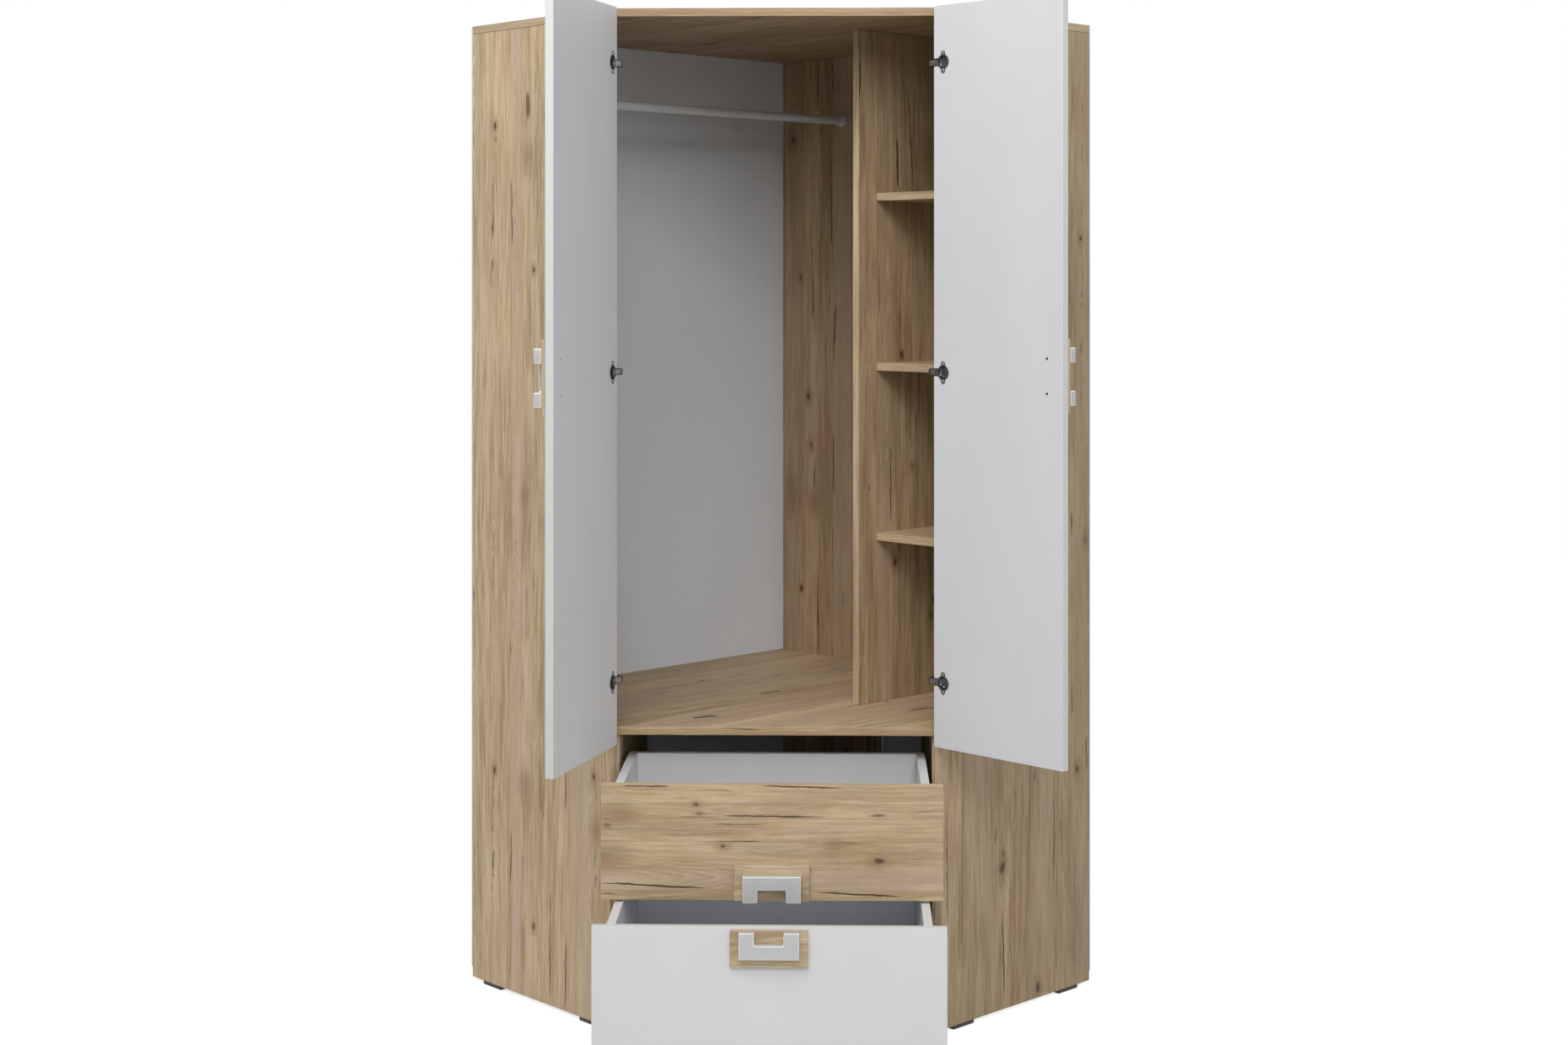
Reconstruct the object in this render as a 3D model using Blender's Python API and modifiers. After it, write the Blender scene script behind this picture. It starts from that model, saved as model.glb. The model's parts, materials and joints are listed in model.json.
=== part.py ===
"""A corner wardrobe: five-sided carcass, two doors, two drawers, shelves and a hanging rod.

Metres, +Z up. The plan frame has x to the right, y to the rear, y = 0 through the two
front outer corners and z = 0 on the lower edge of the side panels. A place in plan is also
given as (u, w): u is its distance from the left rear wall, w from the right rear wall.
The model stands with its doors open and its drawers pulled out.
"""

import math

import bmesh
import bpy
from mathutils import Matrix, Vector

# Carcass
WALL_LENGTH = 0.900
SIDE_DEPTH = 0.4516
HEIGHT = 1.9576
BOARD = 0.016
HARDBOARD = 0.003
BOTTOM_HEIGHT = 0.084
PLINTH_SETBACK = 0.030
BACK_CLEARANCE = 0.020
GAP = 0.0003
EDGE = 0.0008

# Rear wall board that carries the rod, and the joint strip beside it
REAR_BOARD_WIDTH = 0.304
STRIP_WIDTH = 0.0082
STRIP_LIP = 0.001
STRIP_WEB = 0.001

# Divider and shelves
SHELF_BAY_WIDTH = 0.261
DIVIDER_DEPTH = 0.3925
SHELF_DEPTH = 0.340
SHELVES = ("lower_shelf", "middle_shelf", "upper_shelf")

# Hanging rod and its sockets
ROD_U = 0.200
ROD_DROP = 0.1446
ROD_RADIUS = 0.0095
ROD_WALL = 0.0012
SOCKET_WALL = 0.0025
SOCKET_DEPTH = 0.012
SOCKET_BASE = 0.003
SOCKET_FLANGE = 0.0155

# Glides
GLIDE_HEIGHT = 0.008
GLIDE_LENGTH = 0.060
GLIDE_WIDTH = 0.0155
GLIDE_REAR = 0.040
GLIDE_FRONT = 0.036
REAR_GLIDE_U = 0.140

# Drawer bay and drawers
FRONT_MARGIN = 0.0036
FRONT_GAP = 0.002
FRONT_HEIGHT = 0.2114
FRONT_SPACE = 0.0048
SIDE_SPACE = 0.0126
BOX_RISE = 0.020
BOX_BACK_DROP = 0.0005
UPPER_BOX_LENGTH = 0.276
LOWER_BOX_LENGTH = 0.450
UPPER_PULL = 0.1772
LOWER_PULL = 0.3305

# Battens on the bay panels, which run in grooves in the drawer sides
BATTEN_HEIGHT = 0.014
BATTEN_RISE = 0.060
BATTEN_SETBACK = 0.0275
UPPER_BATTEN_LENGTH = 0.250
LOWER_BATTEN_LENGTH = 0.420
GROOVE_DEPTH = 0.008
GROOVE_PLAY = 0.0005
GROOVE_STOP = 0.025

# Doors
DOOR_DROP = 0.032
DOOR_SLOT = 0.0329
DOOR_MEETING_GAP = 0.003
LEFT_ANGLE = 105.5
RIGHT_ANGLE = 136.0

# Door hinges, measured from the hinge axis: s along the door, h towards its inner face
PIVOT_EDGE = 0.0035
PIVOT_DEPTH = 0.0065
DOOR_GAP = 0.0015
HINGES = ("lower", "middle", "upper")
HINGE_INSET = 0.092
ARM_HEIGHT = 0.011
ARM_THICKNESS = 0.005
ARM_STANDOFF = 0.0065
ARM_LENGTH = 0.062
ARM_PLATE_LENGTH = 0.034
ARM_PLATE_RIM = 0.004
ARM_PLATE_HEIGHT = 0.040
KNUCKLE_RADIUS = 0.004
KNUCKLE_STEP = 0.0002
HINGE_PIN_RADIUS = 0.0015
HINGE_PLAY = 0.0005
LUG = 0.0015
CUP_RADIUS = 0.013
CUP_CENTRE = 0.0205
CUP_DEPTH = 0.010
WING = 0.0012
WING_RIM = 0.0012
EAR_REACH = 0.0165
EAR_RADIUS = 0.0042
NOTCH_LENGTH = 0.0105
NOTCH_DEPTH = 0.005

# Handles: a plate with a C-shaped grip, open towards the edge of the front
PLATE_LENGTH = 0.138
PLATE_WIDTH = 0.066
PLATE = 0.007
PLATE_EDGE = 0.0015
GRIP_LENGTH = 0.106
GRIP_WIDTH = 0.051
GRIP = 0.014
GRIP_EDGE = 0.002
GRIP_NOTCH_LENGTH = 0.052
GRIP_NOTCH_DEPTH = 0.0235
SCREW_SPACING = 0.064
SCREW_RADIUS = 0.002
SCREW_HEAD_RADIUS = 0.0028
SCREW_SINK = 0.007
SCREW_GRIP = 0.008
BORE_PLAY = 0.0003
LOWER_HANDLE_INSET = 0.004

# Facets of round pieces
SMALL_SIDES = 12
KNUCKLE_SIDES = 16
ROUND_SIDES = 24
LOBE_STEPS = 6
LOBE_SPREAD = 60.0
MERGE = 0.00003

ROOT2 = math.sqrt(2.0)
BACK_Y = (WALL_LENGTH + SIDE_DEPTH) / ROOT2
INNER = WALL_LENGTH - BOARD
BACK_FACE = HARDBOARD + GAP
BOARD_FRONT_Y = BOARD / ROOT2
CORNER_X = (WALL_LENGTH - SIDE_DEPTH) / ROOT2
TOP_UNDER = HEIGHT - BOARD
BOTTOM_TOP = BOTTOM_HEIGHT + BOARD
REAR_BOARD_END = BACK_FACE + REAR_BOARD_WIDTH
REAR_BOARD_FACE = BACK_FACE + BOARD
STRIP_U = REAR_BOARD_END + GAP
STRIP_END = STRIP_U + STRIP_WIDTH
JOINT_U = STRIP_U + STRIP_WIDTH / 2
DIVIDER_RIGHT = INNER - SHELF_BAY_WIDTH
ROD_HEIGHT = TOP_UNDER - ROD_DROP
BAY_HALF = CORNER_X - BOARD
BOX_HALF = BAY_HALF - SIDE_SPACE
FRONT_HALF = CORNER_X - FRONT_MARGIN
FRONT_OUT = FRONT_GAP + BOARD
LOWER_FRONT_Z = BOTTOM_HEIGHT
UPPER_FRONT_Z = LOWER_FRONT_Z + FRONT_HEIGHT + FRONT_SPACE
HANDLE_OUT = PLATE + GRIP + 2 * GAP
REACH = LOWER_PULL + FRONT_OUT + HANDLE_OUT
MIDDLE_Y = (BACK_Y - REACH) / 2
DOOR_LOW = UPPER_FRONT_Z + FRONT_HEIGHT + DOOR_SLOT
FLOOR_TOP = DOOR_LOW + DOOR_DROP
FLOOR_UNDER = FLOOR_TOP - BOARD
DOOR_WIDTH = FRONT_HALF - DOOR_MEETING_GAP / 2
PIVOT_X = FRONT_HALF - PIVOT_EDGE
PIVOT_Y = -DOOR_GAP - PIVOT_DEPTH
HANDLE_Z = (FLOOR_TOP + TOP_UNDER) / 2
SCREW_DEPTH = (GRIP_NOTCH_DEPTH + GRIP_WIDTH) / 2
OUTER_H = PIVOT_DEPTH - BOARD


def plan(u, w):
    """Plan position of the point u from the left rear wall and w from the right one."""
    return Vector(((u - w) / ROOT2, BACK_Y - (u + w) / ROOT2))


def make_collection(name):
    """A new collection in the scene."""
    collection = bpy.data.collections.new(name)
    bpy.context.scene.collection.children.link(collection)
    return collection


def make_material(name, colour, roughness, metallic=0.0):
    """A plain Principled material."""
    material = bpy.data.materials.new(name)
    material.use_nodes = True
    shader = material.node_tree.nodes["Principled BSDF"]
    shader.inputs["Base Color"].default_value = (*colour, 1.0)
    shader.inputs["Roughness"].default_value = roughness
    shader.inputs["Metallic"].default_value = metallic
    material.diffuse_color = (*colour, 1.0)
    return material


def make_empty(name, parent=None, location=(0.0, 0.0, 0.0), rotation=(0.0, 0.0, 0.0)):
    """An empty that carries other objects."""
    empty = bpy.data.objects.new(name, None)
    parts.objects.link(empty)
    empty.parent = parent
    empty.location = location
    empty.rotation_euler = rotation
    return empty


def finish(name, mesh, parent, location=(0.0, 0.0, 0.0), turn=0.0, material=None):
    """Put a mesh in the model as a named part, or among the cutters if it has no material."""
    obj = bpy.data.objects.new(name, mesh)
    obj.parent = parent
    obj.location = location
    obj.rotation_euler = (0.0, 0.0, turn)
    if material is None:
        cutters.objects.link(obj)
        obj.hide_render = True
        obj.display_type = "WIRE"
    else:
        parts.objects.link(obj)
        mesh.materials.append(material)
    return obj


def box_mesh(name, size):
    """A block of the given size, centred."""
    mesh = bpy.data.meshes.new(name)
    bm = bmesh.new()
    bmesh.ops.create_cube(bm, size=1.0)
    bmesh.ops.scale(bm, vec=size, verts=bm.verts)
    bm.to_mesh(mesh)
    bm.free()
    return mesh


def add_box(name, low, high, parent, material=None, edge=0.0):
    """A block between two opposite corners, given in its parent's axes."""
    low, high = Vector(low), Vector(high)
    size = [abs(b - a) for a, b in zip(low, high)]
    obj = finish(name, box_mesh(name, size), parent, (low + high) / 2, 0.0, material)
    if edge:
        soften(obj, edge)
    return obj


def add_wall_board(name, us, ws, zs, material, edge=EDGE):
    """A board that stands along the rear walls' directions, between the given limits."""
    size = (us[1] - us[0], ws[1] - ws[0], zs[1] - zs[0])
    centre = plan(sum(us) / 2, sum(ws) / 2)
    place = (centre.x, centre.y, sum(zs) / 2)
    obj = finish(name, box_mesh(name, size), carcass, place, -math.pi / 4, material)
    if edge:
        soften(obj, edge)
    return obj


def soften(obj, width):
    """Break the sharp edges of a part."""
    bevel = obj.modifiers.new("edge", "BEVEL")
    bevel.width = width
    bevel.segments = 1
    bevel.limit_method = "ANGLE"
    return obj


def combine(obj, tool, operation="DIFFERENCE"):
    """Cut a part with another object, or join the other object to it."""
    boolean = obj.modifiers.new(operation.lower(), "BOOLEAN")
    boolean.operation = operation
    boolean.object = tool
    return obj


def prism_mesh(name, outline, low, high):
    """A flat outline carried straight up from the height low to the height high."""
    curve = bpy.data.curves.new(name, "CURVE")
    curve.dimensions = "2D"
    curve.fill_mode = "BOTH"
    curve.extrude = (high - low) / 2
    spline = curve.splines.new("POLY")
    spline.points.add(len(outline) - 1)
    for point, place in zip(spline.points, outline):
        point.co = (place[0], place[1], 0.0, 1.0)
    spline.use_cyclic_u = True
    guide = bpy.data.objects.new(name, curve)
    cutters.objects.link(guide)
    bpy.context.view_layer.update()
    graph = bpy.context.evaluated_depsgraph_get()
    mesh = bpy.data.meshes.new_from_object(guide.evaluated_get(graph))
    bpy.data.objects.remove(guide)
    bm = bmesh.new()
    bm.from_mesh(mesh)
    bmesh.ops.remove_doubles(bm, verts=bm.verts, dist=MERGE)
    bmesh.ops.translate(bm, verts=bm.verts, vec=(0.0, 0.0, (low + high) / 2))
    bmesh.ops.recalc_face_normals(bm, faces=bm.faces)
    bm.to_mesh(mesh)
    bm.free()
    mesh.materials.clear()
    return mesh


def round_mesh(name, places, radius, start, end, axis="Z", sides=ROUND_SIDES):
    """Equal round bars at the given places, each from start to end along one axis."""
    turn = {
        "X": Matrix.Rotation(math.pi / 2, 4, "Y"),
        "Y": Matrix.Rotation(-math.pi / 2, 4, "X"),
        "Z": Matrix.Identity(4),
    }[axis]
    shift = Matrix.Translation((0.0, 0.0, (start + end) / 2))
    mesh = bpy.data.meshes.new(name)
    bm = bmesh.new()
    for place in places:
        bmesh.ops.create_cone(
            bm,
            cap_ends=True,
            segments=sides,
            radius1=radius,
            radius2=radius,
            depth=end - start,
            matrix=Matrix.Translation(place) @ turn @ shift,
        )
    bm.to_mesh(mesh)
    bm.free()
    return mesh


def cross_board_outline():
    """The outline between the side panels, notched round the rear wall board and strip."""
    side = INNER - GAP
    front = ROOT2 * (BACK_Y - BOARD_FRONT_Y) - side
    corners = [
        (front, side),
        (BACK_FACE, side),
        (BACK_FACE, REAR_BOARD_FACE + GAP),
        (STRIP_END + GAP, REAR_BOARD_FACE + GAP),
        (STRIP_END + GAP, BACK_FACE),
        (side, BACK_FACE),
        (side, front),
    ]
    return [plan(u, w) for u, w in corners]


def top_board_outline():
    """The outline that covers the side panels, from the backs to their front edges."""
    corners = [
        (SIDE_DEPTH, INNER),
        (SIDE_DEPTH, WALL_LENGTH),
        (BACK_FACE, WALL_LENGTH),
        (BACK_FACE, BACK_FACE),
        (WALL_LENGTH, BACK_FACE),
        (WALL_LENGTH, SIDE_DEPTH),
        (INNER, SIDE_DEPTH),
    ]
    return [plan(u, w) for u, w in corners]


def add_cross_board(name, outline, low):
    """A level board of the given outline and height."""
    mesh = prism_mesh(name, outline, low, low + BOARD)
    soften(finish(name, mesh, carcass, material=oak), EDGE)


def shelf_heights():
    """Undersides of the shelves, evenly spaced between the floor and the top board."""
    clear = TOP_UNDER - FLOOR_TOP - len(SHELVES) * BOARD
    space = clear / (len(SHELVES) + 1)
    return [FLOOR_TOP + space + i * (space + BOARD) for i in range(len(SHELVES))]


def add_shell():
    """Side panels, cross boards, plinth and rear wall board."""
    height = (0.0, TOP_UNDER - GAP)
    rear_to_front = (BACK_FACE, SIDE_DEPTH)
    thickness = (INNER, WALL_LENGTH)
    add_wall_board("left_side_panel", rear_to_front, thickness, height, oak)
    add_wall_board("right_side_panel", thickness, rear_to_front, height, oak)
    add_cross_board("top_board", top_board_outline(), TOP_UNDER)
    add_cross_board("floor_board", cross_board_outline(), FLOOR_UNDER)
    add_cross_board("bottom_board", cross_board_outline(), BOTTOM_HEIGHT)
    plinth_half = PLINTH_SETBACK + ROOT2 * INNER - BACK_Y - GAP
    add_box(
        "plinth_board",
        (-plinth_half, PLINTH_SETBACK, 0.0),
        (plinth_half, PLINTH_SETBACK + BOARD, BOTTOM_HEIGHT - GAP),
        carcass,
        oak,
        EDGE,
    )
    add_wall_board(
        "rear_wall_board",
        (BACK_FACE, REAR_BOARD_END),
        (BACK_FACE, REAR_BOARD_FACE),
        height,
        oak,
    )


def add_backs():
    """The folded sheet round the rear corner, the second sheet and the strip between."""
    web = STRIP_WEB / 2
    fold = [
        (0.0, 0.0),
        (0.0, WALL_LENGTH),
        (HARDBOARD, WALL_LENGTH),
        (HARDBOARD, HARDBOARD),
        (JOINT_U - web - GAP, HARDBOARD),
        (JOINT_U - web - GAP, 0.0),
    ]
    strip = [
        (STRIP_U, BACK_FACE + STRIP_LIP),
        (STRIP_END, BACK_FACE + STRIP_LIP),
        (STRIP_END, BACK_FACE),
        (JOINT_U + web, BACK_FACE),
        (JOINT_U + web, 0.0),
        (JOINT_U - web, 0.0),
        (JOINT_U - web, BACK_FACE),
        (STRIP_U, BACK_FACE),
    ]
    for name, corners, top, look in (
        ("left_back_panel", fold, HEIGHT, grey),
        ("back_joint_strip", strip, TOP_UNDER - GAP, plastic),
    ):
        outline = [plan(u, w) for u, w in corners]
        mesh = prism_mesh(name, outline, BACK_CLEARANCE, top)
        finish(name, mesh, carcass, material=look)
    add_wall_board(
        "right_back_panel",
        (JOINT_U + web + GAP, WALL_LENGTH),
        (0.0, HARDBOARD),
        (BACK_CLEARANCE, HEIGHT),
        grey,
        0.0,
    )


def add_shelf_bay():
    """The divider and the shelves beside it."""
    add_wall_board(
        "divider_panel",
        (DIVIDER_RIGHT - BOARD, DIVIDER_RIGHT),
        (BACK_FACE, BACK_FACE + DIVIDER_DEPTH),
        (FLOOR_TOP + GAP, TOP_UNDER - GAP),
        oak,
    )
    for name, low in zip(SHELVES, shelf_heights()):
        add_wall_board(
            name,
            (DIVIDER_RIGHT + GAP, INNER - GAP),
            (BACK_FACE, BACK_FACE + SHELF_DEPTH),
            (low, low + BOARD),
            oak,
        )


def add_rod():
    """The hanging tube, from the left side panel to the rear wall board, and its sockets."""
    ends = (REAR_BOARD_FACE + GAP, INNER - GAP)
    tube = (ends[0] + SOCKET_BASE + GAP, ends[1] - SOCKET_BASE - GAP)
    start = plan(ROD_U, 0.0)
    frame = make_empty(
        "rod_axis", carcass, (start.x, start.y, ROD_HEIGHT), (0.0, 0.0, -math.pi / 4)
    )
    origin = [(0.0, 0.0, 0.0)]
    mesh = round_mesh("hanging_rod", origin, ROD_RADIUS, -tube[1], -tube[0], "Y")
    rod = finish("hanging_rod", mesh, frame, material=steel)
    bore = round_mesh("rod_bore", origin, ROD_RADIUS - ROD_WALL, -ends[1], -ends[0], "Y")
    combine(rod, finish("rod_bore", bore, frame))
    for name, end, way in (
        ("rear_rod_socket", ends[0], 1.0),
        ("left_rod_socket", ends[1], -1.0),
    ):
        mesh = socket_mesh(name, end, end + way * SOCKET_BASE, end + way * SOCKET_DEPTH)
        finish(name, mesh, frame, material=plastic)


def socket_mesh(name, end, seat, mouth):
    """One rod socket as a turned shape: flange, collar and blind bore, along -y."""
    bore = ROD_RADIUS + BORE_PLAY
    outer = bore + SOCKET_WALL
    profile = [
        (0.0, end),
        (SOCKET_FLANGE, end),
        (SOCKET_FLANGE, seat),
        (outer, seat),
        (outer, mouth),
        (bore, mouth),
        (bore, seat),
        (0.0, seat),
    ]
    mesh = bpy.data.meshes.new(name)
    bm = bmesh.new()
    rim = [bm.verts.new((radius, -w, 0.0)) for radius, w in profile]
    edges = [bm.edges.new(pair) for pair in zip(rim, rim[1:])]
    bmesh.ops.spin(
        bm,
        geom=rim + edges,
        cent=(0.0, 0.0, 0.0),
        axis=(0.0, 1.0, 0.0),
        angle=2 * math.pi,
        steps=ROUND_SIDES,
        use_merge=True,
    )
    bmesh.ops.remove_doubles(bm, verts=bm.verts, dist=MERGE)
    bmesh.ops.recalc_face_normals(bm, faces=bm.faces)
    bm.to_mesh(mesh)
    bm.free()
    return mesh


def add_glides():
    """Flat glides under the side panels and the rear wall board."""
    edge = WALL_LENGTH - BOARD / 2
    rear = GLIDE_REAR + GLIDE_LENGTH / 2
    front = SIDE_DEPTH - GLIDE_FRONT - GLIDE_LENGTH / 2
    quarter = math.pi / 4
    seats = {
        "left_rear_glide": (plan(rear, edge), -quarter),
        "left_front_glide": (plan(front, edge), -quarter),
        "right_rear_glide": (plan(edge, rear), quarter),
        "right_front_glide": (plan(edge, front), quarter),
        "rear_board_glide": (plan(REAR_GLIDE_U, BACK_FACE + BOARD / 2), -quarter),
    }
    height = GLIDE_HEIGHT - GAP
    for name, (place, turn) in seats.items():
        mesh = box_mesh(name, (GLIDE_LENGTH, GLIDE_WIDTH, height))
        centre = (place.x, place.y, -GAP - height / 2)
        soften(finish(name, mesh, carcass, centre, turn, black), EDGE)


def add_bay_panels():
    """The two uprights that carry the drawers' battens."""
    outer = BAY_HALF + BOARD
    front = BACK_Y - ROOT2 * (INNER - GAP) + outer
    rear = BACK_Y - outer - ROOT2 * BACK_FACE
    for name, side in (("left_bay_panel", -1.0), ("right_bay_panel", 1.0)):
        add_box(
            name,
            (side * BAY_HALF, front, BOTTOM_TOP + GAP),
            (side * outer, rear, FLOOR_UNDER - GAP),
            carcass,
            oak,
            EDGE,
        )


def batten_height(front_low):
    """Height of a drawer's battens above the side panels' lower edge."""
    return front_low + BOX_RISE + BATTEN_RISE


def add_battens():
    """The four battens that carry the drawers."""
    half = BATTEN_HEIGHT / 2
    start = BATTEN_SETBACK - FRONT_GAP
    near = BOX_HALF - GROOVE_DEPTH + GROOVE_PLAY
    for row, low, length in (
        ("upper", UPPER_FRONT_Z, UPPER_BATTEN_LENGTH),
        ("lower", LOWER_FRONT_Z, LOWER_BATTEN_LENGTH),
    ):
        middle = batten_height(low)
        for word, side in (("left", -1.0), ("right", 1.0)):
            add_box(
                f"{row}_{word}_batten",
                (side * near, start, middle - half),
                (side * (BAY_HALF - GAP), start + length, middle + half),
                carcass,
                beech,
            )


def screw_tool(name, frame):
    """Stepped bores for a handle's two screws, through the front and into the grip."""
    places = [(side * SCREW_SPACING / 2, 0.0, -SCREW_DEPTH) for side in (-1.0, 1.0)]
    deep = PLATE + SCREW_GRIP + 2 * GAP
    over = BOARD + PLATE
    radius = SCREW_RADIUS + BORE_PLAY
    shank = round_mesh(name, places, radius, -deep, over, "Y", SMALL_SIDES)
    head = round_mesh(
        name + "_head",
        places,
        SCREW_HEAD_RADIUS + BORE_PLAY,
        BOARD - SCREW_SINK,
        over,
        "Y",
        SMALL_SIDES,
    )
    tool = finish(name, shank, frame)
    return combine(tool, finish(name + "_head", head, frame), "UNION")


def add_handle(prefix, front, parent, location, turn):
    """A handle plate and its grip, bored for screws; the grip opens along the frame's +z."""
    frame = make_empty(prefix + "_handle_frame", parent, location, (0.0, turn, 0.0))
    tool = screw_tool(prefix + "_screw_bores", frame)
    plate = add_box(
        prefix + "_handle_plate",
        (-PLATE_LENGTH / 2, -GAP - PLATE, -PLATE_WIDTH),
        (PLATE_LENGTH / 2, -GAP, 0.0),
        frame,
        oak,
        PLATE_EDGE,
    )
    back = -PLATE - 2 * GAP
    half = GRIP_LENGTH / 2
    notch = GRIP_NOTCH_LENGTH / 2
    outline = [
        (-half, -GRIP_WIDTH),
        (half, -GRIP_WIDTH),
        (half, 0.0),
        (notch, 0.0),
        (notch, -GRIP_NOTCH_DEPTH),
        (-notch, -GRIP_NOTCH_DEPTH),
        (-notch, 0.0),
        (-half, 0.0),
    ]
    mesh = prism_mesh(prefix + "_grip", outline, -back, GRIP - back)
    mesh.transform(Matrix.Rotation(math.pi / 2, 4, "X"))
    grip = soften(finish(prefix + "_grip", mesh, frame, material=satin), GRIP_EDGE)
    for piece in (front, plate, grip):
        combine(piece, tool)


def add_drawer(prefix, low, pull, box, front_finish, inset, turn):
    """A drawer with its front, grooved box and handle, drawn out by the given pull."""
    body = make_empty(prefix + "_slide", carcass, (0.0, -pull, 0.0))
    face = -FRONT_GAP
    front = add_box(
        prefix + "_front",
        (-FRONT_HALF, face - BOARD, low),
        (FRONT_HALF, face, low + FRONT_HEIGHT),
        body,
        front_finish,
        EDGE,
    )
    start = face + GAP
    rear = face + box
    top = low + FRONT_HEIGHT
    under = low + BOX_RISE
    side_low = under + HARDBOARD + GAP
    inner = BOX_HALF - BOARD
    groove_height = BATTEN_HEIGHT + GROOVE_PLAY + GAP
    groove_low = batten_height(low) + BATTEN_HEIGHT / 2 + GAP - groove_height
    for word, side in (("_left_side", -1.0), ("_right_side", 1.0)):
        name = prefix + word
        panel = add_box(
            name,
            (side * inner, start, side_low),
            (side * BOX_HALF, rear, top),
            body,
            white,
            EDGE,
        )
        groove = add_box(
            name + "_groove",
            (side * (BOX_HALF - GROOVE_DEPTH), face + GROOVE_STOP, groove_low),
            (side * (BOX_HALF + BOARD), rear + BOARD, groove_low + groove_height),
            body,
        )
        combine(panel, groove)
    add_box(
        prefix + "_back",
        (-inner + GAP, rear - BOARD, side_low),
        (inner - GAP, rear, top - BOX_BACK_DROP),
        body,
        white,
        EDGE,
    )
    add_box(
        prefix + "_bottom",
        (-BOX_HALF, start, under),
        (BOX_HALF, rear, under + HARDBOARD),
        body,
        grey,
    )
    edge = low + FRONT_HEIGHT - inset if turn == 0.0 else low + inset
    add_handle(prefix, front, body, (0.0, face - BOARD, edge), turn)


def hinge_heights():
    """Heights of a door's hinges, from the lowest up."""
    clear = TOP_UNDER - FLOOR_TOP - 2 * HINGE_INSET
    step = clear / (len(HINGES) - 1)
    return [FLOOR_TOP + HINGE_INSET + i * step for i in range(len(HINGES))]


def add_hinge_arm(name, side, place):
    """A fixed hinge arm: plate on the side panel, cranked arm and bored knuckle."""
    pivot_u = (BACK_Y - PIVOT_Y + PIVOT_X) / ROOT2
    pivot_w = (BACK_Y - PIVOT_Y - PIVOT_X) / ROOT2
    seat = INNER - GAP
    near = seat - ARM_STANDOFF
    half = ARM_THICKNESS / 2
    back = pivot_w + half - ARM_LENGTH
    plate_end = back + ARM_PLATE_LENGTH
    crank = [
        (pivot_u, pivot_w + half),
        (near - ARM_THICKNESS, pivot_w + half),
        (near - ARM_THICKNESS, back),
        (seat - LUG / 2, back),
        (seat - LUG / 2, plate_end),
        (near, plate_end),
        (near, pivot_w - half),
        (pivot_u, pivot_w - half),
    ]
    flat = [
        (seat - LUG, back - ARM_PLATE_RIM),
        (seat, back - ARM_PLATE_RIM),
        (seat, plate_end + ARM_PLATE_RIM),
        (seat - LUG, plate_end + ARM_PLATE_RIM),
    ]
    low, high = -ARM_HEIGHT / 2, ARM_HEIGHT / 2
    outline = [mirrored(plan(u, w), side) for u, w in crank]
    arm = finish(name, prism_mesh(name, outline, low, high), place, material=nickel)
    pivot = [(side * PIVOT_X, PIVOT_Y, 0.0)]
    ends = (low - KNUCKLE_STEP, high + KNUCKLE_STEP)
    knuckle = round_mesh(name + "_knuckle", pivot, KNUCKLE_RADIUS, *ends, sides=KNUCKLE_SIDES)
    combine(arm, finish(name + "_knuckle", knuckle, place), "UNION")
    outline = [mirrored(plan(u, w), side) for u, w in flat]
    plate = prism_mesh(name + "_plate", outline, -ARM_PLATE_HEIGHT / 2, ARM_PLATE_HEIGHT / 2)
    combine(arm, finish(name + "_plate", plate, place), "UNION")
    radius = HINGE_PIN_RADIUS + BORE_PLAY
    bore = round_mesh(name + "_bore", pivot, radius, low - LUG, high + LUG, sides=SMALL_SIDES)
    combine(arm, finish(name + "_bore", bore, place))


def mirrored(place, side):
    """A plan position carried over to the left when side is -1."""
    return (side * place[0], place[1])


def leaf_box(name, side, s, h, z, parent, material=None, edge=0.0):
    """A block on a door, from its s, h and z limits."""
    low = (-side * s[0], h[0], z[0])
    high = (-side * s[1], h[1], z[1])
    return add_box(name, low, high, parent, material, edge)


def wing_outline(side):
    """Outline of a cup's wing plate: a round middle and an ear above and below it."""
    lobes = [
        (CUP_CENTRE, -EAR_REACH, EAR_RADIUS, 180.0, 360.0),
        (CUP_CENTRE, 0.0, CUP_RADIUS + WING_RIM, -LOBE_SPREAD, LOBE_SPREAD),
        (CUP_CENTRE, EAR_REACH, EAR_RADIUS, 0.0, 180.0),
        (CUP_CENTRE, 0.0, CUP_RADIUS + WING_RIM, 180.0 - LOBE_SPREAD, 180.0 + LOBE_SPREAD),
    ]
    points = []
    for s, z, radius, first, last in lobes:
        for i in range(LOBE_STEPS + 1):
            angle = math.radians(first + (last - first) * i / LOBE_STEPS)
            x = -side * (s + radius * math.cos(angle))
            points.append((x, z + radius * math.sin(angle)))
    return points


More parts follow.
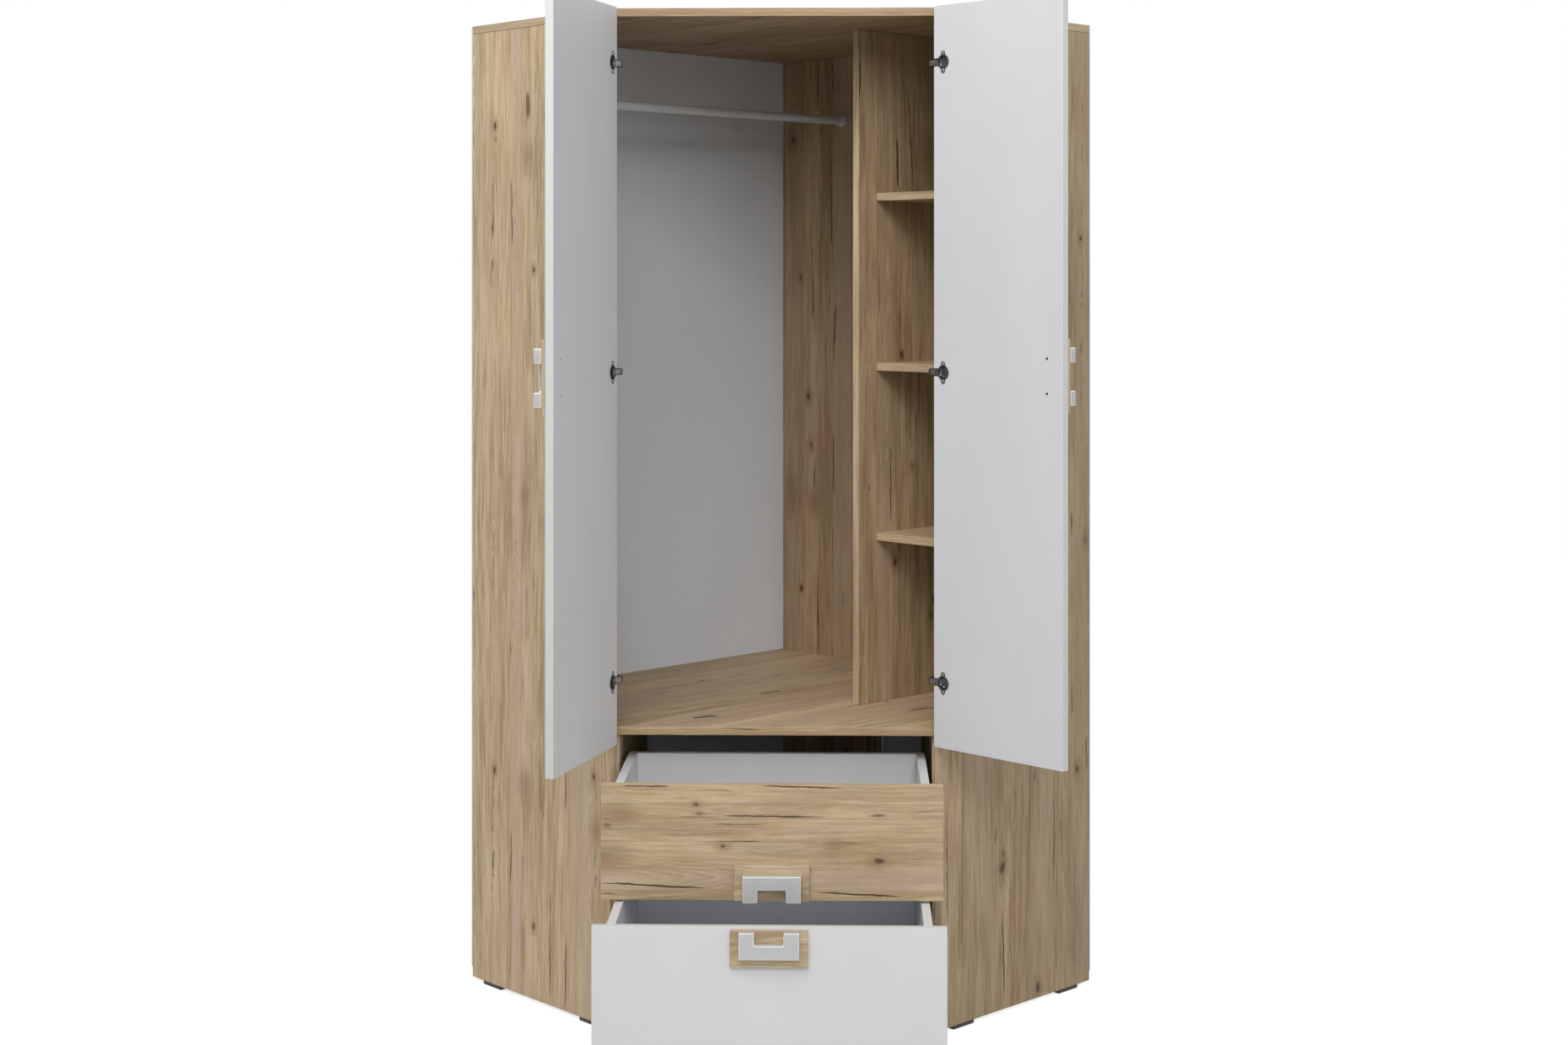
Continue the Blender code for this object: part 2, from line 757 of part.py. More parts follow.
def add_hinge_cup(name, side, place):
    """A hinge cup with its wing plate, and its pin between two lugs round the knuckle."""
    face = PIVOT_DEPTH + GAP
    bottom = PIVOT_DEPTH - CUP_DEPTH
    centre = [(-side * CUP_CENTRE, 0.0, 0.0)]
    mesh = round_mesh(name, centre, CUP_RADIUS, bottom, face + WING / 2, "Y")
    cup = finish(name, mesh, place, material=nickel)
    wing = prism_mesh(name + "_wing", wing_outline(side), 0.0, WING)
    wing.transform(Matrix.Rotation(math.pi / 2, 4, "X"))
    wing.transform(Matrix.Translation((0.0, face + WING, 0.0)))
    combine(cup, finish(name + "_wing", wing, place), "UNION")
    inner = ARM_HEIGHT / 2 + HINGE_PLAY
    outer = inner + LUG
    reach = HINGE_PIN_RADIUS + LUG
    zs = (-outer, outer)
    lugs = leaf_box(name + "_lugs", side, (-reach, CUP_CENTRE), (-reach, reach), zs, place)
    combine(cup, lugs, "UNION")
    room = CUP_CENTRE - CUP_RADIUS - HINGE_PLAY
    for word, end, floor, over in (
        ("_knuckle_room", room, -CUP_RADIUS, KNUCKLE_STEP),
        ("_pocket", NOTCH_LENGTH + ARM_THICKNESS * ROOT2 / 2, bottom + LUG, 0.0),
    ):
        limits = (-CUP_RADIUS, end)
        depth = (floor, face + 2 * WING + over)
        hollow = (-inner - over, inner + over)
        combine(cup, leaf_box(name + word, side, limits, depth, hollow, place))
    middle = [(0.0, 0.0, 0.0)]
    half = inner + LUG / 2
    pin = round_mesh(name + "_pin", middle, HINGE_PIN_RADIUS, -half, half, sides=SMALL_SIDES)
    combine(cup, finish(name + "_pin", pin, place), "UNION")


def cut_hinge_seat(door, name, side, place):
    """A cup bore in a door's inner face and the notch round its knuckle."""
    centre = [(-side * CUP_CENTRE, 0.0, 0.0)]
    floor = PIVOT_DEPTH - CUP_DEPTH - GAP
    over = PIVOT_DEPTH + BOARD
    bore = round_mesh(name + "_seat", centre, CUP_RADIUS + BORE_PLAY, floor, over, "Y")
    combine(door, finish(name + "_seat", bore, place))
    half = ARM_HEIGHT / 2 + HINGE_PLAY + LUG + GAP
    notch = leaf_box(
        name + "_notch",
        side,
        (-PIVOT_EDGE - BOARD, NOTCH_LENGTH),
        (-NOTCH_DEPTH, over),
        (-half, half),
        place,
    )
    combine(door, notch)


def add_door(prefix, side, angle):
    """A door with its hinge parts and handle, opened by the given angle in degrees."""
    swing = (0.0, 0.0, side * math.radians(angle))
    body = make_empty(prefix + "_axis", carcass, (side * PIVOT_X, PIVOT_Y, 0.0), swing)
    free = DOOR_WIDTH - PIVOT_EDGE
    door = leaf_box(
        prefix,
        side,
        (-PIVOT_EDGE, free),
        (OUTER_H, PIVOT_DEPTH),
        (DOOR_LOW, HEIGHT),
        body,
        white,
        EDGE,
    )
    for word, height in zip(HINGES, hinge_heights()):
        name = f"{prefix}_{word}_hinge"
        on_door = make_empty(name + "_door_place", body, (0.0, 0.0, height))
        on_side = make_empty(name + "_side_place", carcass, (0.0, 0.0, height))
        cut_hinge_seat(door, name, side, on_door)
        add_hinge_cup(name + "_cup", side, on_door)
        add_hinge_arm(name + "_arm", side, on_side)
    turn = -side * math.pi / 2
    add_handle(prefix, door, body, (-side * free, OUTER_H, HANDLE_Z), turn)


for old in list(bpy.data.objects):
    bpy.data.objects.remove(old, do_unlink=True)

parts = make_collection("corner_wardrobe")
cutters = make_collection("cutters")

oak = make_material("pale_oak", (0.50, 0.38, 0.26), 0.55)
white = make_material("white_laminate", (0.72, 0.72, 0.71), 0.45)
plastic = make_material("white_plastic", (0.76, 0.76, 0.75), 0.4)
grey = make_material("grey_hardboard", (0.45, 0.45, 0.45), 0.6)
satin = make_material("satin_grey", (0.50, 0.51, 0.52), 0.4, 0.3)
nickel = make_material("nickel", (0.60, 0.59, 0.57), 0.3, 1.0)
beech = make_material("beech", (0.62, 0.45, 0.28), 0.6)
steel = make_material("grey_steel_tube", (0.48, 0.48, 0.49), 0.35, 0.8)
black = make_material("black_plastic", (0.02, 0.02, 0.02), 0.5)

carcass = make_empty("carcass", None, (0.0, -MIDDLE_Y, GLIDE_HEIGHT))
add_shell()
add_backs()
add_shelf_bay()
add_rod()
add_glides()
add_bay_panels()
add_battens()
add_door("left_door", -1.0, LEFT_ANGLE)
add_door("right_door", 1.0, RIGHT_ANGLE)
add_drawer("upper_drawer", UPPER_FRONT_Z, UPPER_PULL, UPPER_BOX_LENGTH, oak, 0.0, math.pi)
add_drawer(
    "lower_drawer", LOWER_FRONT_Z, LOWER_PULL, LOWER_BOX_LENGTH, white, LOWER_HANDLE_INSET, 0.0
)
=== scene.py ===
"""Looks of a corner wardrobe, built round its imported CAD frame.

Metres, +Z up. A place in plan is also given as (u, w): u is its distance from the left
rear wall and w from the right one. Boards carry a UV map in metres, across and along
their grain, which every wood print reads.
"""

import json
import logging
import math
from dataclasses import dataclass, field
from enum import Enum

import bmesh
import bpy
import numpy as np
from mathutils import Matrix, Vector


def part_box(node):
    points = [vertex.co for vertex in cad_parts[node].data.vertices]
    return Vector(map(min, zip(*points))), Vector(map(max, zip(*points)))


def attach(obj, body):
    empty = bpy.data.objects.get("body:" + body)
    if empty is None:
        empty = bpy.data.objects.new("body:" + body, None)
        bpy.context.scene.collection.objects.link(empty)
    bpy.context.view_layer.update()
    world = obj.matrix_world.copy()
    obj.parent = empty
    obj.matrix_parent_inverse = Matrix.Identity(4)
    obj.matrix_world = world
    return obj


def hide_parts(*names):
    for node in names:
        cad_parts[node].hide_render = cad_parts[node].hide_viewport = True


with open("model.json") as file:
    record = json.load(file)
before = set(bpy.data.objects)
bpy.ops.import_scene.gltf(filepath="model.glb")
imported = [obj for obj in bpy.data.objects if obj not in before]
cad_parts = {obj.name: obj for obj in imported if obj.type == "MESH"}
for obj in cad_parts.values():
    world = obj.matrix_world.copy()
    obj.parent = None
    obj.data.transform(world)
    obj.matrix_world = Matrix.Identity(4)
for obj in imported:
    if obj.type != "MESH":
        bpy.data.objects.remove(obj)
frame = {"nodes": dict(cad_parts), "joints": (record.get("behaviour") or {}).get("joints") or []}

log = logging.getLogger("wardrobe")
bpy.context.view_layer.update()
ROOT2 = math.sqrt(2.0)
GAP = 0.0003  # Between pieces that lie on each other
GRAIN_MAP = "grain"
BAND = "edge_band"
SMOOTH_ANGLE = math.radians(35.0)
CORNER = 1.6  # A corner's radius in plan, in edge radii, so that its inset stays open
END_PRINT = 2.0  # How much further on in the print the end bands read
SIDE_PRINT = 4.0  # The same for the side bands
SQUARE_ON = 0.8  # A face looks along an axis where its normal's share is above this
FLAT_ON = 0.995  # The same for faces that aren't part of a rounded edge
UP = np.array([0.0, 0.0, 1.0])

Socket = bpy.types.NodeSocket
Value = Socket | float
Colour = tuple[float, float, float]
Object = bpy.types.Object
Material = bpy.types.Material
Array = np.ndarray
Pair = tuple[float, float]
Place = tuple[float, float, float]
Corners = list[Pair]
Profile = Array | list[tuple[float | Array, float]]


class Slot(Enum):
    """The record's material slots."""

    OAK = "pale_oak"
    WHITE = "white_laminate"
    HARDBOARD = "grey_hardboard"
    BEECH = "beech"
    PLASTIC = "white_plastic"
    SATIN = "satin_grey"
    BLACK = "black_plastic"
    NICKEL = "nickel"
    STEEL = "grey_steel_tube"


class Axis(Enum):
    """An axis of a turned frame."""

    X = 0
    Y = 1
    Z = 2


# ---------------------------------------------------------------- frames and outlines


@dataclass(frozen=True)
class Frame:
    """A right-handed set of axes: columns of turn are its x, y and z in the world."""

    origin: Array
    turn: Array

    @classmethod
    def about_z(cls, degrees: float) -> "Frame":
        """Axes at the world's origin, turned about +Z.

        Args:
            degrees: The turn.

        Returns:
            The frame.
        """
        c, s = math.cos(math.radians(degrees)), math.sin(math.radians(degrees))
        turn = np.array([[c, -s, 0.0], [s, c, 0.0], [0.0, 0.0, 1.0]])
        return cls(np.zeros(3), turn)

    @classmethod
    def of(cls, origin: Array, x: Array, y: Array) -> "Frame":
        """The frame with the given x and y axes; z is their cross product."""
        x, y = np.array(x, float), np.array(y, float)
        return cls(np.array(origin, float), np.stack([x, y, np.cross(x, y)], axis=1))

    def out(self, points: Array) -> Array:
        """Points of the frame in world coordinates."""
        return np.asarray(points, float) @ self.turn.T + self.origin

    def into(self, points: Array) -> Array:
        """World points in the frame's coordinates."""
        return (np.asarray(points, float) - self.origin) @ self.turn

    def at(self, place: tuple) -> "Frame":
        """The same axes with their origin at a place of this frame."""
        return Frame(self.out(np.array(place, float)), self.turn)


def read(items: bpy.types.bpy_prop_collection, name: str, kind: type = float) -> Array:
    """One number property of every item of a mesh.

    Args:
        items: Its vertices, faces or loops.
        name: The property.
        kind: Its kind of number.

    Returns:
        The numbers, one for each item, or n by 3 for places and normals.
    """
    width = 3 if name in ("co", "normal") else 1
    values = np.empty(len(items) * width, kind)
    items.foreach_get(name, values)
    return values.reshape(-1, width) if width > 1 else values


def node_box(node: str, axes: Frame) -> tuple[Array, Array]:
    """A CAD node's box in turned axes.

    Args:
        node: The node's name.
        axes: The axes to measure it in.

    Returns:
        Its lowest and highest corner in those axes.
    """
    local = axes.into(read(frame["nodes"][node].data.vertices, "co"))
    return local.min(axis=0), local.max(axis=0)


def anticlockwise(outline: Array) -> Array:
    """The outline in the order that has its inside on the left (shoelace area above 0).

    Args:
        outline: Corners, n by 2.

    Returns:
        The same corners, turned round where they ran the other way.
    """
    x, y = outline[:, 0], outline[:, 1]
    area = np.sum(x * np.roll(y, -1) - y * np.roll(x, -1))
    return outline if area > 0 else outline[::-1].copy()


def rectangle(x0: float, y0: float, x1: float, y1: float) -> Array:
    """Corners of a rectangle between two opposite ones, anticlockwise."""
    return np.array([(x0, y0), (x1, y0), (x1, y1), (x0, y1)], float)


def mirrored(*half: Pair) -> Array:
    """An outline from its half below the x axis, which comes back above it as (x, -y)."""
    low = np.array(half, float)
    return np.concatenate([low, low[::-1] * np.array([1.0, -1.0])])


def round_corners(corners: Array, radius: float, steps: int = 3) -> Array:
    """Replace each corner by an arc that touches both of its sides.

    With a and b the unit vectors from the corner to its neighbours, and half the angle
    between them t, the arc's centre is the corner plus (a + b) / |a + b| * r / sin(t).
    The arc's points blend the two touching radii as sines of the angle between them.

    Args:
        corners: Outline corners, n by 2.
        radius: Radius of every arc.
        steps: Chords in each arc.

    Returns:
        The new outline, n * (steps + 1) by 2.
    """
    corners = anticlockwise(np.asarray(corners, float))
    a = np.roll(corners, 1, axis=0) - corners
    b = np.roll(corners, -1, axis=0) - corners
    a /= np.linalg.norm(a, axis=1, keepdims=True)
    b /= np.linalg.norm(b, axis=1, keepdims=True)
    half = np.arccos(np.clip(np.sum(a * b, axis=1), -1, 1)) / 2
    bisector = (a + b) / np.linalg.norm(a + b, axis=1, keepdims=True)
    centre = corners + bisector * (radius / np.sin(half))[:, None]
    reach = (radius / np.tan(half))[:, None]
    first, last = corners + a * reach - centre, corners + b * reach - centre
    swing = (math.pi - 2 * half)[:, None, None]
    share = np.linspace(0.0, 1.0, steps + 1)[None, :, None]
    arc = first[:, None] * np.sin((1 - share) * swing) + last[:, None] * np.sin(share * swing)
    return (centre[:, None] + arc / np.sin(swing)).reshape(-1, 2)


def inset(outline: Array, distance: Array) -> Array:
    """Move an outline inwards with mitred corners.

    Each corner moves along (n1 + n2) / (1 + n1.n2), the inward normals of its two sides,
    times the distance.

    Args:
        outline: Corners, n by 2, anticlockwise.
        distance: One distance for each wanted outline.

    Returns:
        The outlines, len(distance) by n by 2.
    """
    side = np.roll(outline, -1, axis=0) - outline
    side /= np.linalg.norm(side, axis=1, keepdims=True)
    after = np.stack([-side[:, 1], side[:, 0]], axis=1)
    before = np.roll(after, 1, axis=0)
    mitre = (before + after) / (1 + np.sum(before * after, axis=1, keepdims=True))
    return outline[None] + np.asarray(distance, float)[:, None, None] * mitre[None]


def angles(sides: int, start: float = 0.0) -> Array:
    """Even steps of one turn, from a start angle."""
    return np.linspace(0.0, 2 * math.pi, sides, endpoint=False) + start


# ---------------------------------------------------------------- surfaces


def lift(flat: Array, heights: Array) -> Array:
    """Give each flat ring its height: (x, y) goes to (x, y, z of the ring).

    Args:
        flat: Points, rings by n by 2.
        heights: One height for each ring.

    Returns:
        Points, rings by n by 3.
    """
    rise = np.asarray(heights, float)[:, None, None]
    return np.concatenate([flat, np.broadcast_to(rise, (*flat.shape[:2], 1))], axis=2)


def slab_rings(outline: Array, thickness: float, radius: float, steps: int = 3) -> Array:
    """Rings of a board with rounded edges.

    The outline is carried up a profile: at angle t of each edge's quarter circle it is
    inset by r (1 - sin t) and raised by r (1 - cos t). A ring a little way inside each
    arc keeps the flat faces flat when they are shaded smooth.

    Args:
        outline: Corners, n by 2.
        thickness: Height of the board.
        radius: Radius of its edges.
        steps: Chords in each quarter circle.

    Returns:
        Points, rings by n by 3, from the lower face to the upper one.
    """
    t = np.linspace(0.0, math.pi / 2, steps + 1)
    guard = radius * 0.35
    draw = np.concatenate([[radius + guard], radius * (1 - np.sin(t)), [0.0]])
    rise = np.concatenate([[0.0], radius * (1 - np.cos(t)), [radius + guard]])
    draw = np.concatenate([draw, draw[::-1]])
    rise = np.concatenate([rise, thickness - rise[::-1]])
    return lift(inset(anticlockwise(np.asarray(outline, float)), draw), rise)


def polar_rings(t: Array, profile: Profile) -> Array:
    """Rings whose radius may follow the angle: (r cos t, r sin t, z).

    Args:
        t: The angles of a ring's points.
        profile: Radius and height of each ring, the radius one number or one for each t.

    Returns:
        Points, rings by len(t) by 3.
    """
    radii = np.stack([np.broadcast_to(radius, t.shape) for radius, _ in profile])
    flat = radii[:, :, None] * np.stack([np.cos(t), np.sin(t)], axis=1)[None]
    return lift(flat, np.array([height for _, height in profile]))


def turned_rings(profile: Profile, sides: int = 32) -> Array:
    """Rings of a turned shape: profile point (r, z) goes to (r cos t, r sin t, z)."""
    return polar_rings(angles(sides), profile)


def swept_rings(path: Array, section: Array, up: Array) -> Array:
    """A section carried along a path.

    At each path point the section's x lies along up x tangent and its y along up.

    Args:
        path: Centre line, m by 3.
        section: Outline, n by 2.
        up: The direction that stays square to the path.

    Returns:
        Points, m by n by 3.
    """
    path = np.asarray(path, float)
    tangent = np.gradient(path, axis=0)
    tangent /= np.linalg.norm(tangent, axis=1, keepdims=True)
    side = np.cross(np.broadcast_to(up, path.shape), tangent)
    side /= np.linalg.norm(side, axis=1, keepdims=True)
    x, y = section[:, 0][None, :, None], section[:, 1][None, :, None]
    return path[:, None] + x * side[:, None] + y * np.asarray(up, float)[None, None]


def new_object(name: str, data: bpy.types.ID) -> Object:
    """Put a mesh, lamp or camera in the scene, at the origin.

    Args:
        name: The object's name.
        data: What it holds.

    Returns:
        The object.
    """
    obj = bpy.data.objects.new(name, data)
    bpy.context.scene.collection.objects.link(obj)
    return obj


@dataclass
class Shape:
    """Closed shells gathered for one mesh, with a material index for each face."""

    points: list[Array] = field(default_factory=list)
    faces: list[list[int]] = field(default_factory=list)
    looks: list[int] = field(default_factory=list)
    count: int = 0

    def loft(self, rings: Array, place: Frame | None = None, look: int = 0) -> "Shape":
        """Join rings into a closed shell: quads between them and a face at either end.

        Args:
            rings: Points, rings by n by 3.
            place: The frame that they are given in, or None for the world.
            look: Material index of the shell.

        Returns:
            The shape itself.
        """
        rows, sides = rings.shape[:2]
        world = rings if place is None else place.out(rings)
        index = np.arange(rows * sides).reshape(rows, sides) + self.count
        ahead = np.roll(index, -1, axis=1)
        quads = np.stack([index[:-1], ahead[:-1], ahead[1:], index[1:]], axis=-1)
        made = quads.reshape(-1, 4).tolist()
        made += [index[0][::-1].tolist(), index[-1].tolist()]
        self.points.append(world.reshape(-1, 3))
        self.faces += made
        self.looks += [look] * len(made)
        self.count += rows * sides
        return self

    def build(self, name: str, *materials: Material) -> Object:
        """Make the mesh and its object.

        Args:
            name: Name of both.
            materials: Their materials, in the order of the indices.

        Returns:
            The object, at the origin, with its normals outwards.
        """
        mesh = bpy.data.meshes.new(name)
        mesh.from_pydata(np.concatenate(self.points).tolist(), [], self.faces)
        for material in materials:
            mesh.materials.append(material)
        mesh.polygons.foreach_set("material_index", self.looks)
        bm = bmesh.new()
        bm.from_mesh(mesh)
        bmesh.ops.recalc_face_normals(bm, faces=bm.faces)
        bm.to_mesh(mesh)
        bm.free()
        mesh.shade_smooth()
        mesh.set_sharp_from_angle(angle=SMOOTH_ANGLE)
        return new_object(name, mesh)


def cut(obj: Object, tool: Object) -> Object:
    """Take a tool's space out of a piece, and remove the tool.

    Args:
        obj: The piece.
        tool: A closed shape.

    Returns:
        The piece, with its mesh replaced.
    """
    modifier = obj.modifiers.new("cut", "BOOLEAN")
    modifier.operation = "DIFFERENCE"
    modifier.solver = "EXACT"
    modifier.object = tool
    bpy.context.view_layer.update()
    graph = bpy.context.evaluated_depsgraph_get()
    made = bpy.data.meshes.new_from_object(obj.evaluated_get(graph))
    obj.modifiers.clear()
    old, obj.data = obj.data, made
    bpy.data.meshes.remove(old)
    bpy.data.objects.remove(tool)
    made.name = obj.name
    made.set_sharp_from_angle(angle=SMOOTH_ANGLE)
    return obj


def mark_band(mesh: bpy.types.Mesh, chosen: Array) -> None:
    """Set the band attribute to 1 on the chosen faces and 0 on the others."""
    band = mesh.attributes.new(BAND, "FLOAT", "FACE")
    band.data.foreach_set("value", chosen.astype(np.float32))


def lay_grain(obj: Object, axes: Frame, shift: Pair) -> None:
    """Give every face a UV in metres, and mark the faces of the edge bands.

    In the axes a is across the grain, b along it and c through the board. A broad face
    takes (a, b), a side along the grain (c, b) and an end (c, a), so that the print runs
    along every edge band. Bands read the print further on, so they don't repeat a face.
    An edge that slants across the grain keeps the tone of the broad face, and isn't marked.

    Args:
        obj: The board.
        axes: Its axes: x across the grain, y along it.
        shift: Where the broad face starts in the print.
    """
    mesh = obj.data
    local = axes.into(read(mesh.vertices, "co"))
    lean = np.abs(read(mesh.polygons, "normal") @ axes.turn)
    kind, square = lean.argmax(axis=1), lean.max(axis=1) > SQUARE_ON
    a, b, c = local[read(mesh.loops, "vertex_index", int)].T
    here = np.repeat(kind, read(mesh.polygons, "loop_total", int))
    across = np.where(here == 2, a, c + SIDE_PRINT) + shift[0]
    along = np.where(here == 1, a + END_PRINT, b) + shift[1]
    grain = mesh.uv_layers.new(name=GRAIN_MAP)
    grain.data.foreach_set("uv", np.stack([across, along], axis=1).astype(np.float32).ravel())
    mark_band(mesh, (kind != 2) & square)


def mark_edges(obj: Object, axes: Frame) -> None:
    """Set the band attribute to 1 on faces that look along none of the axes.

    Args:
        obj: The piece.
        axes: Its axes.
    """
    lean = np.abs(read(obj.data.polygons, "normal") @ axes.turn).max(axis=1)
    mark_band(obj.data, lean < FLAT_ON)


# ---------------------------------------------------------------- material graphs


class Graph:
    """The shader nodes of one material, added through short calls."""

    def __init__(self, name: str) -> None:
        """Start a material with its Principled shader.

        Args:
            name: The material's name.
        """
        self.material = bpy.data.materials.new(name)
        self.material.use_nodes = True
        self.tree = self.material.node_tree
        self.shader = self.tree.nodes["Principled BSDF"]

    def node(self, kind: str, **settings: str | bool) -> bpy.types.Node:
        """A new node.

        Args:
            kind: Its type, without the word ShaderNode.
            settings: Its properties.

        Returns:
            The node.
        """
        made = self.tree.nodes.new("ShaderNode" + kind)
        for key, value in settings.items():
            setattr(made, key, value)
        return made

    def put(self, target: Socket, value: Value | Colour) -> None:
        """Link a socket to an input, or set the input to a constant.

        Args:
            target: The input.
            value: The socket, number or colour that it takes.
        """
        if isinstance(value, bpy.types.NodeSocket):
            self.tree.links.new(value, target)
        elif isinstance(value, tuple) and len(value) == 3 and target.type == "RGBA":
            target.default_value = (*value, 1.0)
        else:
            target.default_value = value

    def fill(self, made: bpy.types.Node, **inputs: Value | Colour) -> Socket:
        """Set or link a node's inputs.

        Args:
            made: The node.
            inputs: Their values, under their names with underscores.

        Returns:
            The node's first output.
        """
        for name, value in inputs.items():
            title = name.replace("_", " ").title().replace("Ior", "IOR")
            self.put(made.inputs[title], value)
        return made.outputs[0]

    def math(self, operation: str, *values: Value) -> Socket:
        """A Math node's value.

        Args:
            operation: What it works out.
            values: Its inputs, in order.

        Returns:
            The value.
        """
        made = self.node("Math", operation=operation)
        for target, value in zip(made.inputs, values):
            self.put(target, value)
        return made.outputs[0]

    def vector(self, x: Value, y: Value, z: Value = 0.0) -> Socket:
        """A vector.

        Args:
            x: Its first part.
            y: Its second.
            z: Its third.

        Returns:
            The vector.
        """
        made = self.node("CombineXYZ")
        for target, value in zip(made.inputs, (x, y, z)):
            self.put(target, value)
        return made.outputs[0]

    def noise(self, vector: Socket, detail: float = 2.0, roughness: float = 0.5) -> Socket:
        """Noise from 0 to 1, at scale 1.

        Args:
            vector: Where it is read.
            detail: Its octaves.
            roughness: How much of each octave is left in the next.

        Returns:
            The noise.
        """
        made = self.node("TexNoise")
        return self.fill(made, vector=vector, scale=1.0, detail=detail, roughness=roughness)

    def streaks(
        self,
        across: Socket,
        along: Socket,
        rates: tuple[float, ...],
        detail: float = 2.0,
        roughness: float = 0.5,
    ) -> Socket:
        """Noise at (across * rate, along * rate, start), drawn out along the grain.

        Args:
            across: The place across the grain.
            along: The place along it.
            rates: Rate across, rate along, and a start that sets one noise off another.
            detail: The noise's octaves.
            roughness: How much of each octave is left in the next.

        Returns:
            The noise, from 0 to 1.
        """
        x = self.math("MULTIPLY", across, rates[0])
        y = self.math("MULTIPLY", along, rates[1])
        return self.noise(self.vector(x, y, *rates[2:]), detail, roughness)

    def swing(self, value: Socket, gain: float, base: Value = 0.0) -> Socket:
        """A base that a value from 0 to 1 moves both ways: base + gain * (value - 1/2)."""
        return self.math("MULTIPLY_ADD", self.math("SUBTRACT", value, 0.5), gain, base)

    def span(
        self,
        value: Socket,
        low: float,
        high: float,
        start: float = 0.0,
        end: float = 1.0,
    ) -> Socket:
        """A value eased from start to end as it goes from low to high.

        Args:
            value: The value.
            low: Where the ease begins.
            high: Where it ends.
            start: The result up to low.
            end: The result from high on.

        Returns:
            The eased value.
        """
        made = self.node("MapRange", interpolation_type="SMOOTHSTEP")
        limits = {"from_min": low, "from_max": high, "to_min": start, "to_max": end}
        return self.fill(made, value=value, **limits)

    def mix(
        self,
        share: Value,
        first: Socket | Colour,
        second: Socket | Colour,
        mode: str = "MIX",
    ) -> Socket:
        """Two colours mixed.

        Args:
            share: How much of the second is taken.
            first: The colour at share 0.
            second: The colour at share 1.
            mode: The blend.

        Returns:
            The mixed colour.
        """
        made = self.node("Mix", data_type="RGBA", blend_type=mode)
        self.put(made.inputs[0], share)
        self.put(made.inputs[6], first)
        self.put(made.inputs[7], second)
        return made.outputs[2]

    def ramp(self, value: Socket, *stops: tuple[float, Colour]) -> Socket:
        """A colour ramp over a value.

        Args:
            value: The value.
            stops: Places and colours, lowest place first.

        Returns:
            The colour.
        """
        made = self.node("ValToRGB")
        band = made.color_ramp
        band.elements[0].position, band.elements[0].color = stops[0][0], (*stops[0][1], 1.0)
        band.elements[1].position, band.elements[1].color = stops[-1][0], (*stops[-1][1], 1.0)
        for place, colour in stops[1:-1]:
            band.elements.new(place).color = (*colour, 1.0)
        self.put(made.inputs[0], value)
        return made.outputs[0]

    def bump(self, height: Socket, distance: float, strength: float = 1.0) -> None:
        """Raise the surface by a height map.

        Args:
            height: The map, from 0 to 1.
            distance: Metres that it spans.
            strength: How much of it is seen.
        """
        made = self.node("Bump")
        normal = self.fill(made, strength=strength, distance=distance, height=height)
        self.put(self.shader.inputs["Normal"], normal)

    def grain(self) -> tuple[Socket, Socket]:
        """Read the print's place.

        Returns:
            Metres across and along the grain.
        """
        source = self.node("UVMap", uv_map=GRAIN_MAP)
        parts = self.node("SeparateXYZ")
        self.put(parts.inputs[0], source.outputs[0])
        return parts.outputs[0], parts.outputs[1]

    def band(self) -> Socket:
        """1 on edge bands and 0 on broad faces."""
        return self.node("Attribute", attribute_name=BAND).outputs["Fac"]

    def place(self, rate: float, rise: float | None = None) -> Socket:
        """Object coordinates times a rate.

        Args:
            rate: The rate.
            rise: The rate along z, where it is another.

        Returns:
            The coordinates.
        """
        source = self.node("TexCoord").outputs["Object"]
        scale = (rate, rate, rate if rise is None else rise)
        return self.fill(self.node("Mapping"), vector=source, scale=scale)

    def finish(self, **inputs: Value | Colour) -> Material:
        """Set or link the shader's inputs.

        Args:
            inputs: Their values, under their names with underscores.

        Returns:
            The material.
        """
        self.fill(self.shader, **inputs)
        return self.material


def dimmed(colour: Colour, share: float) -> Colour:
    """A share of a colour."""
    return tuple(part * share for part in colour)


@dataclass(frozen=True)
class Knot:
    """A knot of the print, in metres from the board's lower corner."""

    across: float
    along: float
    radius: float = 0.004
    core: float = 0.92


@dataclass(frozen=True)
class Crack:
    """A filled crack that runs along the grain, in metres from the lower corner.

    A broken one is a chain of blots.
    """

    across: float
    start: float
    end: float
    width: float = 0.0022
    lean: float = 0.0
    depth: float = 1.0
    broken: bool = False


@dataclass(frozen=True)
class Stave:
    """One strip of a board, up to its far seam: tone, tint towards rose, figure."""

    end: float
    tone: float = 0.5
    tint: float = 0.3
    turn: float = 0.5


def each(kind: type, *numbers: tuple) -> tuple:
    """One knot, crack or stave for each row of its numbers."""
    return tuple(kind(*row) for row in numbers)


